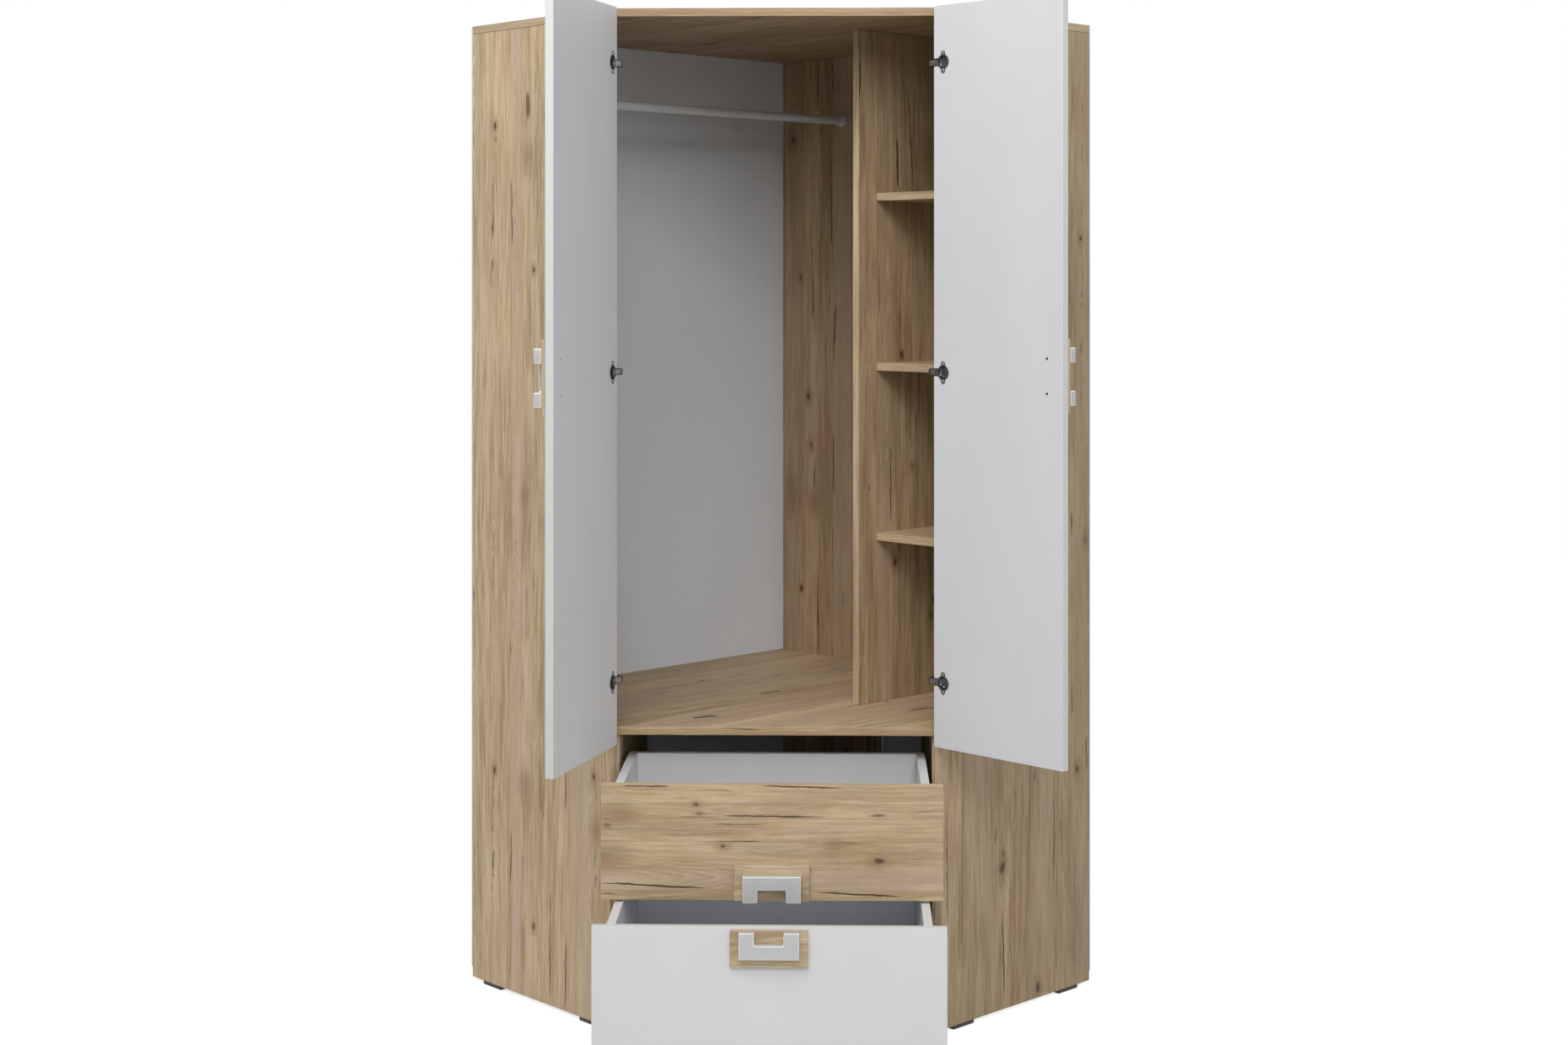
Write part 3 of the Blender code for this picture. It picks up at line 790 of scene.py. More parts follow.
@dataclass(frozen=True)
class Oak:
    """Pale knotty oak print: glued staves, streaks, arched figure, knots and cracks.

    Where no staves are drawn they have a mean width. A cell of the print has a small
    strewn knot where its chance is above strewn, and never where that is above 1. Depth
    is the contrast of the streaks. The cast multiplies the whole board's colour: on the
    carcass boards it is painted light and shade, above 1 on the lit left side and below 1
    on the shaded ones.
    """

    RINGS = 150.0  # Rings of the arched figure in a metre
    FRAY = 2.2  # How far fine noise frays a knot's rim, in radii
    CELL = (0.115, 0.46)  # A strewn knot's cell, across and along
    SMALL_KNOT = 0.0032
    SEAM = 0.0016  # Half the width of a drawn seam
    RELIEF = 0.00012

    name: str = "oak"
    shift: Pair = (0.0, 0.0)
    knots: tuple[Knot, ...] = ()
    cracks: tuple[Crack, ...] = ()
    staves: tuple[Stave, ...] = ()
    width: float = 0.052
    strewn: float = 0.62
    depth: float = 1.30
    light: Colour = (0.600, 0.472, 0.312)
    middle: Colour = (0.492, 0.374, 0.232)
    dark: Colour = (0.350, 0.250, 0.144)
    rosy: Colour = (0.510, 0.402, 0.298)
    stain: Colour = (0.300, 0.190, 0.100)
    bark: Colour = (0.070, 0.043, 0.025)
    cast: Colour = (1.0, 1.0, 1.0)

    def bend(
        self, graph: Graph, across: Socket, along: Socket, radius: float
    ) -> tuple[Socket, Socket]:
        """How the grain passes a knot, and how far a point is from it.

        The grain follows the stream lines round a post: a point moves by
        -across r^2 / (d^2 + r^2), with d its distance in a space shortened along the grain.

        Args:
            graph: The material's graph.
            across: Distance from the knot across the grain.
            along: Distance from the knot along it.
            radius: The knot's radius.

        Returns:
            The move across the grain, and the distance in knot radii.
        """
        flat = graph.math("MULTIPLY", along, 0.6)
        square = graph.math("MULTIPLY_ADD", flat, flat, graph.math("MULTIPLY", across, across))
        pull = graph.math("DIVIDE", -(radius**2), graph.math("ADD", square, radius**2))
        reach = graph.math("DIVIDE", graph.math("SQRT", square), radius)
        near = graph.span(reach, 5.0, 9.0, 1.0, 0.0)
        return graph.math("MULTIPLY", graph.math("MULTIPLY", pull, near), across), reach

    def strips(self, graph: Graph, u: Socket, wave: Socket) -> tuple[Socket, ...]:
        """The staves side by side, as drawn or else of random widths.

        Args:
            graph: The material's graph.
            u: Place across the grain.
            wave: How far the grain sways there.

        Returns:
            Tone, tint, figure and middle of the stave at hand, and how near its seam is.
        """
        place = graph.math("MULTIPLY_ADD", wave, 0.16, u)
        parts = graph.node("SeparateColor")
        if not self.staves:
            cells = graph.node("TexVoronoi", voronoi_dimensions="1D")
            edge = graph.node("TexVoronoi", voronoi_dimensions="1D", feature="DISTANCE_TO_EDGE")
            for strip in (cells, edge):
                graph.fill(strip, w=place, scale=1.0 / self.width, randomness=0.75)
            graph.put(parts.inputs[0], cells.outputs["Color"])
            seam = graph.span(edge.outputs["Distance"], 0.0, 0.03, 1.0, 0.0)
            return *parts.outputs, graph.math("MULTIPLY", cells.outputs["W"], self.width), seam
        total = self.staves[-1].end
        share = graph.math("DIVIDE", graph.math("SUBTRACT", place, self.shift[0]), total)
        kinds = graph.node("ValToRGB")
        middles = graph.node("ValToRGB")
        seams = graph.node("ValToRGB")
        for ramp in (kinds, middles):
            ramp.color_ramp.interpolation = "CONSTANT"
        start, half = 0.0, self.SEAM / total
        for index, stave in enumerate(self.staves):
            middle = (start + stave.end) / 2 / total
            colours = ((stave.tone, stave.tint, stave.turn, 1.0), (middle, middle, middle, 1.0))
            for ramp, colour in zip((kinds, middles), colours):
                stops = ramp.color_ramp.elements
                stop = stops[0] if index == 0 else stops.new(start / total)
                stop.color = colour
                stops[-1].color = colour
            for step, level in ((-half, 0.0), (0.0, 1.0), (half, 0.0)):
                if index:
                    stop = seams.color_ramp.elements.new(start / total + step)
                    stop.color = (level, level, level, 1.0)
            start = stave.end
        seams.color_ramp.elements[-1].color = (0.0, 0.0, 0.0, 1.0)
        for ramp in (kinds, middles, seams):
            graph.put(ramp.inputs[0], share)
        graph.put(parts.inputs[0], kinds.outputs[0])
        across = graph.math("MULTIPLY_ADD", middles.outputs[0], total, self.shift[0])
        return *parts.outputs, across, seams.outputs[0]

    def material(self) -> Material:
        """Build the finish's nodes.

        Returns:
            The material.
        """
        graph = Graph(self.name)
        u, v = graph.grain()
        math_ = graph.math
        fine = graph.streaks(u, v, (70.0, 26.0), 3.0)
        wave = graph.swing(fine, 0.0050, graph.swing(graph.streaks(u, v, (5.0, 1.6)), 0.030))
        bent, core, halo = self.scattered_knots(graph, u, v, fine)
        for knot in self.knots:
            du = math_("SUBTRACT", u, knot.across + self.shift[0])
            dv = math_("SUBTRACT", v, knot.along + self.shift[1])
            move, reach = self.bend(graph, du, dv, knot.radius)
            rough = graph.swing(fine, self.FRAY, reach)
            bent = math_("ADD", bent, move)
            core = math_("MAXIMUM", core, graph.span(rough, 0.35, 1.35, knot.core, 0.0))
            halo = math_("MAXIMUM", halo, graph.span(rough, 0.8, 3.6, 0.55, 0.0))
        g = math_("ADD", math_("ADD", u, wave), bent)
        tone, tint, turn, centre, seam = self.strips(graph, u, wave)

        # Arched figure: rings of sqrt(x^2 + d^2) against a slope along the stave
        x = math_("SUBTRACT", g, graph.swing(turn, 0.03, centre))
        arch = math_("SQRT", math_("MULTIPLY_ADD", x, x, 0.00003))
        slope = math_("MULTIPLY_ADD", tint, 0.34, -0.17)
        phase = math_("MULTIPLY_ADD", v, slope, arch)
        phase = math_("MULTIPLY_ADD", graph.streaks(g, v, (30.0, 6.0)), 0.012, phase)
        phase = math_("MULTIPLY_ADD", tone, 3.0, phase)
        ring = math_("FRACT", math_("MULTIPLY", phase, self.RINGS))
        fall = graph.span(ring, 0.86, 1.0, 1.0, 0.0)
        ring = math_("MULTIPLY", graph.span(ring, 0.15, 0.85), fall)
        where = graph.span(graph.streaks(u, v, (14.0, 1.8, 7.0)), 0.42, 0.60)
        ring = math_("MULTIPLY", ring, where)

        streak = graph.streaks(g, v, (170.0, 7.0), 6.0, 0.66)
        flow = graph.streaks(g, v, (46.0, 2.6, 1.0), 3.0, 0.55)
        pore = graph.streaks(g, v, (430.0, 34.0), 5.0, 0.72)
        cloud = graph.streaks(u, v, (18.0, 3.6, 3.0), 4.0, 0.6)
        hue = graph.streaks(u, v, (26.0, 5.0, 9.0), 3.0, 0.55)
        level = graph.swing(flow, 0.90 * self.depth, 0.5)
        level = graph.swing(streak, 1.35 * self.depth, level)
        level = graph.swing(tone, 0.30, level)
        level = graph.swing(cloud, 0.45, level)
        light, dark = self.light, self.dark
        colour = graph.ramp(level, (0.22, dark), (0.48, self.middle), (0.72, light))
        colour = graph.mix(graph.span(tint, 0.45, 0.95, 0.0, 0.60), colour, self.rosy)
        tinge = graph.ramp(
            hue, (0.36, (0.99, 0.99, 0.90)), (0.5, (1.0, 1.0, 1.0)), (0.66, (1.0, 0.93, 0.90))
        )
        colour = graph.mix(1.0, colour, tinge, "MULTIPLY")
        colour = graph.mix(math_("MULTIPLY", ring, 0.55), colour, dark)
        colour = graph.mix(graph.span(cloud, 0.60, 0.78, 0.0, 0.44), colour, self.stain)
        colour = graph.mix(graph.span(pore, 0.54, 0.70, 0.0, 0.52), colour, dark)
        colour = graph.mix(graph.span(pore, 0.46, 0.30, 0.0, 0.46), colour, light)
        join = math_("MULTIPLY", seam, graph.span(cloud, 0.40, 0.60, 0.20, 0.70))
        colour = graph.mix(join, colour, self.stain)
        colour = graph.mix(halo, colour, self.stain)
        fissure = self.fissures(graph, u, v, fine)
        colour = graph.mix(math_("MAXIMUM", core, fissure), colour, self.bark)
        colour = graph.mix(math_("MULTIPLY", graph.band(), 0.16), colour, light)
        # A marked edge band doesn't take the board's cast of painted light and shade
        # Painted light and shade: the board's colour is multiplied by its cast
        cast = graph.mix(graph.band(), self.cast, (1.0, 1.0, 1.0))
        colour = graph.mix(1.0, colour, cast, "MULTIPLY")
        height = math_("SUBTRACT", streak, math_("MULTIPLY", graph.span(pore, 0.58, 0.72), 0.5))
        height = math_("SUBTRACT", height, fissure)
        graph.bump(height, self.RELIEF, 0.6)
        return graph.finish(
            base_color=colour,
            roughness=graph.span(streak, 0.3, 0.7, 0.60, 0.50),
            specular_ior_level=0.35,
        )

    def scattered_knots(
        self, graph: Graph, u: Socket, v: Socket, fine: Socket
    ) -> tuple[Socket, Socket, Socket]:
        """Small knots strewn over the print.

        Args:
            graph: The material's graph.
            u: Place across the grain.
            v: Place along it.
            fine: The noise that frays their rims.

        Returns:
            Their move of the grain, their cores and their halos.
        """
        cells = graph.node("TexVoronoi", voronoi_dimensions="2D")
        across, along = self.CELL
        place = graph.vector(
            graph.math("MULTIPLY", u, 1 / across), graph.math("MULTIPLY", v, 1 / along)
        )
        graph.fill(cells, vector=place, scale=1.0)
        centre = graph.node("SeparateXYZ")
        graph.put(centre.inputs[0], cells.outputs["Position"])
        du = graph.math("MULTIPLY_ADD", centre.outputs[0], -across, u)
        dv = graph.math("MULTIPLY_ADD", centre.outputs[1], -along, v)
        chance = graph.node("SeparateColor")
        graph.put(chance.inputs[0], cells.outputs["Color"])
        present = graph.math("GREATER_THAN", chance.outputs[0], self.strewn)
        move, reach = self.bend(graph, du, dv, self.SMALL_KNOT)
        reach = graph.swing(fine, self.FRAY, reach)
        core = graph.math("MULTIPLY", graph.span(reach, 0.4, 1.3, 0.85, 0.0), present)
        halo = graph.math("MULTIPLY", graph.span(reach, 0.8, 3.6, 0.45, 0.0), present)
        return graph.math("MULTIPLY", move, present), core, halo

    def fissures(self, graph: Graph, u: Socket, v: Socket, fine: Socket) -> Socket:
        """Cracks along the grain: strewn thin ones, and those placed on the board.

        A placed crack is where |x - centre| / width + ((v - middle) / half)^4 is below 1,
        with its centre swayed and its width varied by noise.

        Args:
            graph: The material's graph.
            u: Place across the grain.
            v: Place along it.
            fine: The noise that frays their rims.

        Returns:
            1 in a crack and 0 elsewhere.
        """
        math_ = graph.math
        lines = graph.streaks(u, v, (26.0, 1.1, 11.0), 1.0)
        line = math_("ABSOLUTE", math_("SUBTRACT", lines, 0.5))
        open_ = graph.span(graph.streaks(u, v, (18.0, 6.0, 5.0)), 0.575, 0.70)
        line = math_("DIVIDE", line, math_("MULTIPLY_ADD", open_, 0.016, 0.0001))
        found = math_("MULTIPLY", graph.span(line, 0.35, 1.0, 0.8, 0.0), open_)
        sway = graph.noise(graph.vector(0.0, math_("MULTIPLY", v, 24.0), 2.0), 3.0, 0.6)
        sway = graph.swing(sway, 0.0075)
        blots = graph.span(graph.streaks(u, v, (90.0, 21.0, 4.0), 6.0, 0.75), 0.47, 0.60)
        for crack in self.cracks:
            middle = (crack.start + crack.end) / 2 + self.shift[1]
            half = (crack.end - crack.start) / 2
            run = math_("DIVIDE", math_("SUBTRACT", v, middle), half)
            off = math_("SUBTRACT", u, crack.across + self.shift[0])
            off = math_("ADD", math_("MULTIPLY_ADD", run, -crack.lean, off), sway)
            side = math_("DIVIDE", math_("ABSOLUTE", off), crack.width / 2)
            depth = math_("ADD", side, math_("POWER", math_("ABSOLUTE", run), 4.0))
            mark = graph.span(graph.swing(fine, 1.6, depth), 0.75, 1.15, crack.depth, 0.0)
            if crack.broken:
                mark = math_("MULTIPLY", mark, blots)
            found = math_("MAXIMUM", found, mark)
        return found


@dataclass(frozen=True)
class Laminate:
    """White melamine face with a fine orange-peel texture."""

    name: str = "white_laminate"
    colour: Colour = (0.640, 0.640, 0.645)
    edge: Colour = (0.600, 0.598, 0.597)

    def material(self) -> Material:
        """Build the finish's nodes.

        Returns:
            The material.
        """
        graph = Graph(self.name)
        peel = graph.noise(graph.place(900.0))
        cloud = graph.noise(graph.place(9.0, 3.0), 3.0)
        colour = graph.mix(graph.span(cloud, 0.3, 0.7), self.colour, dimmed(self.colour, 0.97))
        colour = graph.mix(graph.band(), colour, self.edge)
        graph.bump(peel, 0.00006, 0.5)
        return graph.finish(
            base_color=colour,
            roughness=graph.span(peel, 0.3, 0.7, 0.42, 0.50),
            specular_ior_level=0.4,
        )


@dataclass(frozen=True)
class Hardboard:
    """Painted hardboard with faint fibres, a plainer grey on its marked outer face."""

    name: str = "grey_hardboard"
    # The inner face's blue tint is painted in to cancel the warm light bounced off the oak
    colour: Colour = (0.725, 0.772, 0.830)
    fleck: Colour = (0.650, 0.686, 0.730)
    outside: Colour = (0.700, 0.705, 0.715)

    def material(self) -> Material:
        """Build the finish's nodes.

        Returns:
            The material.
        """
        graph = Graph(self.name)
        fibre = graph.noise(graph.place(260.0, 60.0), 4.0, 0.6)
        cloud = graph.noise(graph.place(5.0, 2.0))
        face = graph.mix(graph.band(), self.colour, self.outside)
        share = graph.math("SUBTRACT", 1.0, graph.math("MULTIPLY", graph.band(), 0.6))
        colour = graph.mix(graph.span(fibre, 0.45, 0.75, 0.0, 0.30), face, self.fleck)
        flecked = graph.math("MULTIPLY", graph.span(cloud, 0.35, 0.75, 0.0, 0.25), share)
        colour = graph.mix(flecked, colour, self.fleck)
        graph.bump(fibre, 0.00008, 0.5)
        return graph.finish(
            base_color=colour,
            roughness=graph.span(fibre, 0.3, 0.7, 0.55, 0.68),
            specular_ior_level=0.3,
        )


@dataclass(frozen=True)
class Metal:
    """Plated or painted metal with fine scuffs.

    Scuff is how far they change its roughness and rate their number in a metre. The edge
    tone, where given, is painted on its marked rounded edges: a painted highlight where it
    is lighter, painted shade where it is darker.
    """

    name: str
    colour: Colour
    roughness: float
    metallic: float
    scuff: float = 0.06
    rate: float = 300.0
    painted_edge_tone: float | None = None
    relief: float = 0.00002

    def material(self) -> Material:
        """Build the finish's nodes, with painted light or shade on its marked edges where asked.

        Returns:
            The material.
        """
        graph = Graph(self.name)
        mark = graph.noise(graph.place(self.rate), 4.0, 0.6)
        share = graph.span(graph.noise(graph.place(24.0)), 0.4, 0.75, 0.0, 0.6)
        colour = graph.mix(share, self.colour, dimmed(self.colour, 0.94))
        if self.painted_edge_tone is not None:
            # Painted highlight or painted shade on the marked rounded edges, broken a little by
            # the scuffs
            share = graph.math("MULTIPLY", graph.band(), graph.span(mark, 0.2, 0.5, 0.7, 1.0))
            colour = graph.mix(share, colour, (self.painted_edge_tone,) * 3)
        graph.bump(mark, self.relief, 0.5)
        low, high = self.roughness - self.scuff, self.roughness + self.scuff
        return graph.finish(
            base_color=colour,
            roughness=graph.span(mark, 0.3, 0.7, low, high),
            metallic=self.metallic,
        )


@dataclass(frozen=True)
class Plastic:
    """Moulded plastic with a fine spark texture."""

    name: str
    colour: Colour
    roughness: float = 0.42

    def material(self) -> Material:
        """Build the finish's nodes.

        Returns:
            The material.
        """
        graph = Graph(self.name)
        spark = graph.noise(graph.place(1400.0))
        share = graph.span(graph.noise(graph.place(40.0)), 0.3, 0.8, 0.0, 0.5)
        colour = graph.mix(share, self.colour, dimmed(self.colour, 0.9))
        graph.bump(spark, 0.00004, 0.5)
        return graph.finish(
            base_color=colour,
            roughness=graph.span(spark, 0.3, 0.7, self.roughness - 0.05, self.roughness + 0.08),
        )


@dataclass(frozen=True)
class Beech:
    """Planed beech: even pinkish brown with short rays."""

    name: str = "beech"
    colour: Colour = (0.560, 0.370, 0.215)
    ray: Colour = (0.400, 0.235, 0.120)

    def material(self) -> Material:
        """Build the finish's nodes.

        Returns:
            The material.
        """
        graph = Graph(self.name)
        u, v = graph.grain()
        line = graph.streaks(u, v, (420.0, 9.0), 4.0)
        ray = graph.streaks(u, v, (900.0, 300.0))
        colour = graph.mix(graph.span(line, 0.40, 0.70, 0.0, 0.45), self.colour, self.ray)
        colour = graph.mix(graph.span(ray, 0.62, 0.72, 0.0, 0.5), colour, self.ray)
        graph.bump(line, 0.0001, 0.6)
        return graph.finish(base_color=colour, roughness=graph.span(line, 0.3, 0.7, 0.55, 0.66))


Finish = Oak | Laminate | Hardboard | Metal | Plastic | Beech


class Finishes:
    """The materials, each made once when it is first asked for."""

    def __init__(self) -> None:
        """Start with none made."""
        self.made: dict[str, Material] = {}

    def of(self, finish: Finish) -> Material:
        """The material of a finish.

        Args:
            finish: The finish.

        Returns:
            Its one material, which all its pieces share.
        """
        if finish.name not in self.made:
            self.made[finish.name] = finish.material()
        return self.made[finish.name]


FINISHES = Finishes()
WHITE = Laminate()
HARDBOARD = Hardboard()
BEECH = Beech()
# Its marked rounded edges are painted darker: painted shade
NICKEL = Metal("nickel", (0.34, 0.34, 0.345), 0.32, 1.0, painted_edge_tone=0.09)
# Screw heads painted near black: painted shade in their bores
SCREW_PAINTED_SHADE = Metal("dark_screw", (0.060, 0.060, 0.062), 0.45, 0.6)
# Nickel painted dark as painted shade, for the hinge dishes and the arms' far parts
NICKEL_PAINTED_SHADE = Metal("shaded_nickel", (0.13, 0.13, 0.135), 0.38, 1.0)
SCREW = Metal("zinc_screw", (0.34, 0.34, 0.335), 0.36, 1.0)
# Its marked rounded edges are painted lighter: a painted highlight
SATIN = Metal("satin_grey", (0.465, 0.465, 0.467), 0.40, 0.12, 0.05, 500.0, 0.80)
# A blue tint painted in to cancel the warm light bounced off the oak
STEEL = Metal("grey_steel_tube", (0.74, 0.785, 0.835), 0.30, 0.35, 0.010, relief=0.000001)
PLASTIC = Plastic("white_plastic", (0.62, 0.62, 0.62))
# Whiter than the sockets' plastic: painted light, so the strip shows bright in the shaded joint
STRIP = Plastic("white_strip", (0.95, 0.95, 0.95), 0.30)
BLACK = Plastic("black_plastic", (0.012, 0.012, 0.013), 0.5)

# ---------------------------------------------------------------- pieces


def hand_in(obj: Object, body: str, slot: Slot, *nodes: str) -> Object:
    """Put a finished piece on its body in place of CAD nodes, and report it.

    Args:
        obj: The piece.
        body: The CAD body that it rides on.
        slot: Its material slot; not used.
        nodes: The CAD nodes that it stands for.

    Returns:
        The piece.
    """
    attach(obj, body)
    if nodes:
        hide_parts(*nodes)
    log.info("%s: %d faces, on %s", obj.name, len(obj.data.polygons), body)
    return obj


LEFT_WALL = Frame.about_z(-45.0)
SQUARE = Frame.about_z(0.0)


@dataclass(frozen=True)
class Board:
    """A rectangular board that stands for a CAD node, with rounded edges.

    It starts in the print at its shift, or else where its finish says.
    """

    node: str
    axes: Frame
    finish: Finish
    slot: Slot = Slot.OAK
    body: str = "carcass"
    along: Axis | None = None
    edge: float = 0.0008
    shift: Pair | None = None

    def frame(self) -> tuple[Frame, Array]:
        """The board's own axes and its size.

        The thinnest extent is the thickness. The grain runs along the longest one, unless
        the board says otherwise.

        Returns:
            The frame at the board's lowest corner, x across the grain and y along it, and
            the sizes across, along and through.
        """
        low, high = node_box(self.node, self.axes)
        size = high - low
        through = int(np.argmin(size))
        along = int(np.argmax(size)) if self.along is None else self.along.value
        across = 3 - through - along
        x, y = self.axes.turn[:, across], self.axes.turn[:, along]
        corner = low.copy()
        if np.cross(x, y) @ self.axes.turn[:, through] < 0:
            corner[through] = high[through]
        return Frame.of(self.axes.out(corner), x, y), size[[across, along, through]]

    def build(self) -> Object:
        """Make the board's mesh.

        Returns:
            Its object, not yet handed in.
        """
        place, size = self.frame()
        outline = rectangle(0.0, 0.0, size[0], size[1])
        rings = slab_rings(round_corners(outline, self.edge * CORNER), size[2], self.edge)
        look = FINISHES.of(self.finish)
        return Shape().loft(rings, place).build(self.node + "_board", look)

    def dress(self, obj: Object) -> Object:
        """Lay the grain on the board and hand it in.

        Args:
            obj: The board's object.

        Returns:
            The same object.
        """
        place, _ = self.frame()
        lay_grain(obj, place, self.shift or getattr(self.finish, "shift", (0.0, 0.0)))
        return hand_in(obj, self.body, self.slot, self.node)

    def add(self) -> Object:
        """Make, dress and hand in the board."""
        return self.dress(self.build())


@dataclass
class Plan:
    """Widths that the carcass's outlines follow in plan, from the rear walls."""

    wall: float = 0.900
    depth: float = 0.4516
    board: float = 0.016
    sheet: float = 0.003
    rear_board: float = 0.304
    strip: float = 0.0082
    strip_lip: float = 0.001
    strip_web: float = 0.001

    def __post_init__(self) -> None:
        """Work out the lines that several outlines share."""
        self.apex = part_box("left_back_panel")[1].y
        self.inner = self.wall - self.board
        self.back = self.sheet + GAP
        self.rear_face = self.back + self.board
        self.strip_start = self.back + self.rear_board + GAP
        self.strip_end = self.strip_start + self.strip
        self.joint = self.strip_start + self.strip / 2

    def points(self, corners: Corners) -> Array:
        """World x and y of places (u, w): ((u - w) / root 2, apex - (u + w) / root 2)."""
        u, w = np.array(corners, float).T
        return np.stack([(u - w) / ROOT2, self.apex - (u + w) / ROOT2], axis=1)

    def place(self, u: float, w: float, z: float) -> Array:
        """One world point from (u, w) and its height."""
        return np.array([*self.points([(u, w)])[0], z])


@dataclass
class Carcass:
    """The shell: side panels, cross boards, plinth and the rear wall board."""

    plan: Plan
    edge: float = 0.0008

    LEFT_OAK = Oak(
        "oak_left_side",
        (0.0, 0.0),
        knots=each(
            Knot,
            (0.078, 1.750, 0.0050), (0.080, 1.722, 0.0030, 0.5), (0.186, 1.677, 0.0090, 0.15),
            (0.208, 1.456, 0.0045), (0.178, 1.000, 0.0070, 0.1), (0.078, 0.437, 0.0045),
            (0.207, 0.146, 0.0045), (0.180, 0.420, 0.0110, 0.05), (0.398, 0.474, 0.0050),
            (0.405, 0.370, 0.0080, 0.1),
        ),
        cracks=each(
            Crack,
            (0.135, 1.500, 1.640, 0.0034, -0.002),
            (0.070, 1.380, 1.700, 0.0090, 0.004, 0.75, True),
            (0.132, 0.205, 0.325, 0.0034, 0.002),
            (0.072, 0.170, 0.450, 0.0080, 0.002, 0.75, True),
            (0.072, 0.800, 1.000, 0.0060, 0.002, 0.6, True), (0.262, 0.006, 0.180, 0.0026),
            (0.311, 0.391, 0.480, 0.0030), (0.311, 0.006, 0.148, 0.0030, 0.002),
            (0.404, 0.200, 0.470, 0.0070, 0.002, 0.6, True),
        ),
        staves=each(
            Stave,
            (0.022, 0.62, 0.10, 0.3), (0.066, 0.66, 0.35, 0.6), (0.134, 0.52, 0.40, 0.8),
            (0.166, 0.60, 0.95, 0.2), (0.262, 0.44, 0.20, 0.5), (0.311, 0.55, 0.45, 0.7),
            (0.346, 0.50, 0.75, 0.1), (0.400, 0.62, 0.85, 0.9), (0.460, 0.36, 0.40, 0.4),
        ),
        strewn=2.0,
        # Painted light: the lit left side panel is made brighter
        cast=(1.07, 1.07, 1.07),
    )
    RIGHT_OAK = Oak(
        "oak_right_side",
        (9.3, 3.1),
        knots=each(
            Knot,
            (0.178, 0.279, 0.0085), (0.181, 0.306, 0.0040, 0.6), (0.409, 0.438, 0.0055),
            (0.286, 0.020, 0.0065), (0.420, 1.520, 0.0045), (0.436, 0.905, 0.0060, 0.4),
        ),
        cracks=each(
            Crack,
            (0.060, 0.030, 0.560, 0.0018, 0.001, 0.6), (0.181, 0.020, 0.205, 0.0032, -0.004),
            (0.158, 0.330, 0.360, 0.0026, 0.001), (0.336, 0.216, 0.470, 0.0026, 0.003, 0.8),
            (0.018, 0.200, 0.420, 0.0022), (0.424, 1.100, 1.900, 0.0050, 0.002, 0.6, True),
        ),
        staves=each(
            Stave,
            (0.060, 0.58, 0.45, 0.4), (0.156, 0.50, 0.68, 0.8), (0.262, 0.42, 0.06, 0.5),
            (0.336, 0.52, 0.72, 0.2), (0.402, 0.60, 0.40, 0.6), (0.460, 0.46, 0.80, 0.9),
        ),
        strewn=2.0,
        # Painted shade: the right side panel, turned from the lamps, is made darker
        cast=(0.71, 0.69, 0.655),
    )
    REAR_OAK = Oak(
        "oak_rear_board",
        (3.3, 0.4),
        knots=each(
            Knot,
            (0.086, 1.168, 0.0060), (0.094, 1.056, 0.0050, 0.7), (0.062, 0.723, 0.0042),
            (0.035, 1.760, 0.0080, 0.6), (0.060, 1.442, 0.0042, 0.8),
            (0.034, 0.940, 0.0120, 0.12), (0.105, 0.929, 0.0100, 0.08), (0.210, 0.360, 0.0060),
        ),
        cracks=each(
            Crack,
            (0.117, 1.820, 1.945, 0.0030), (0.165, 1.860, 1.935, 0.0024),
            (0.160, 1.480, 1.780, 0.0034, -0.0035), (0.0995, 1.340, 1.445, 0.0028),
            (0.171, 1.255, 1.390, 0.0036, 0.0035), (0.1675, 0.950, 1.095, 0.0032),
            (0.117, 0.560, 0.770, 0.0038), (0.250, 0.700, 1.020, 0.0028, 0.003),
        ),
        strewn=2.0,
        # Painted shade: the rear board inside the carcass is made darker
        cast=(0.82, 0.765, 0.73),
    )
    TOP_OAK = Oak(
        "oak_top",
        (2.1, 5.3),
        cracks=each(
            Crack,
            (-0.042, -0.292, -0.234, 0.0190, 0.001),
            (0.378, -0.056, -0.018, 0.0080, -0.004, 0.8),
            (0.198, -0.050, 0.085, 0.0100, -0.015, 0.8),
            (-0.046, -0.196, -0.158, 0.0060, -0.002, 0.7),
            (-0.227, -0.352, -0.308, 0.0070, 0.004, 0.7),
            (0.082, -0.119, -0.058, 0.0060, -0.006, 0.6),
            (0.054, 0.016, 0.112, 0.0050, -0.006, 0.6),
        ),
        # Painted shade: the top board is made the darkest of the boards
        cast=(0.70, 0.645, 0.60),
    )
    FLOOR_OAK = Oak(
        "oak_floor",
        (5.2, 1.7),
        cracks=each(
            Crack,
            (0.028, -0.256, -0.200, 0.0160, 0.006),
            (-0.072, -0.231, -0.194, 0.0060, 0.001, 0.6),
            (-0.076, 0.016, 0.074, 0.0120, 0.001, 0.8),
            (-0.228, -0.166, -0.102, 0.0070, -0.006, 0.6),
            (-0.270, -0.010, 0.050, 0.0060, -0.008, 0.5),
            (-0.190, 0.322, 0.388, 0.0070, -0.005, 0.6),
            (-0.008, -0.408, -0.364, 0.0050, 0.002, 0.6),
            (0.270, -0.102, -0.058, 0.0050, 0.005, 0.6),
        ),
        # Painted shade: the floor board is made a little darker
        cast=(0.98, 0.95, 0.91),
    )
    # Painted shade: the shelves and bottom board are made a little darker
    INNER_OAK = Oak("oak_inner", cast=(0.98, 0.95, 0.91))

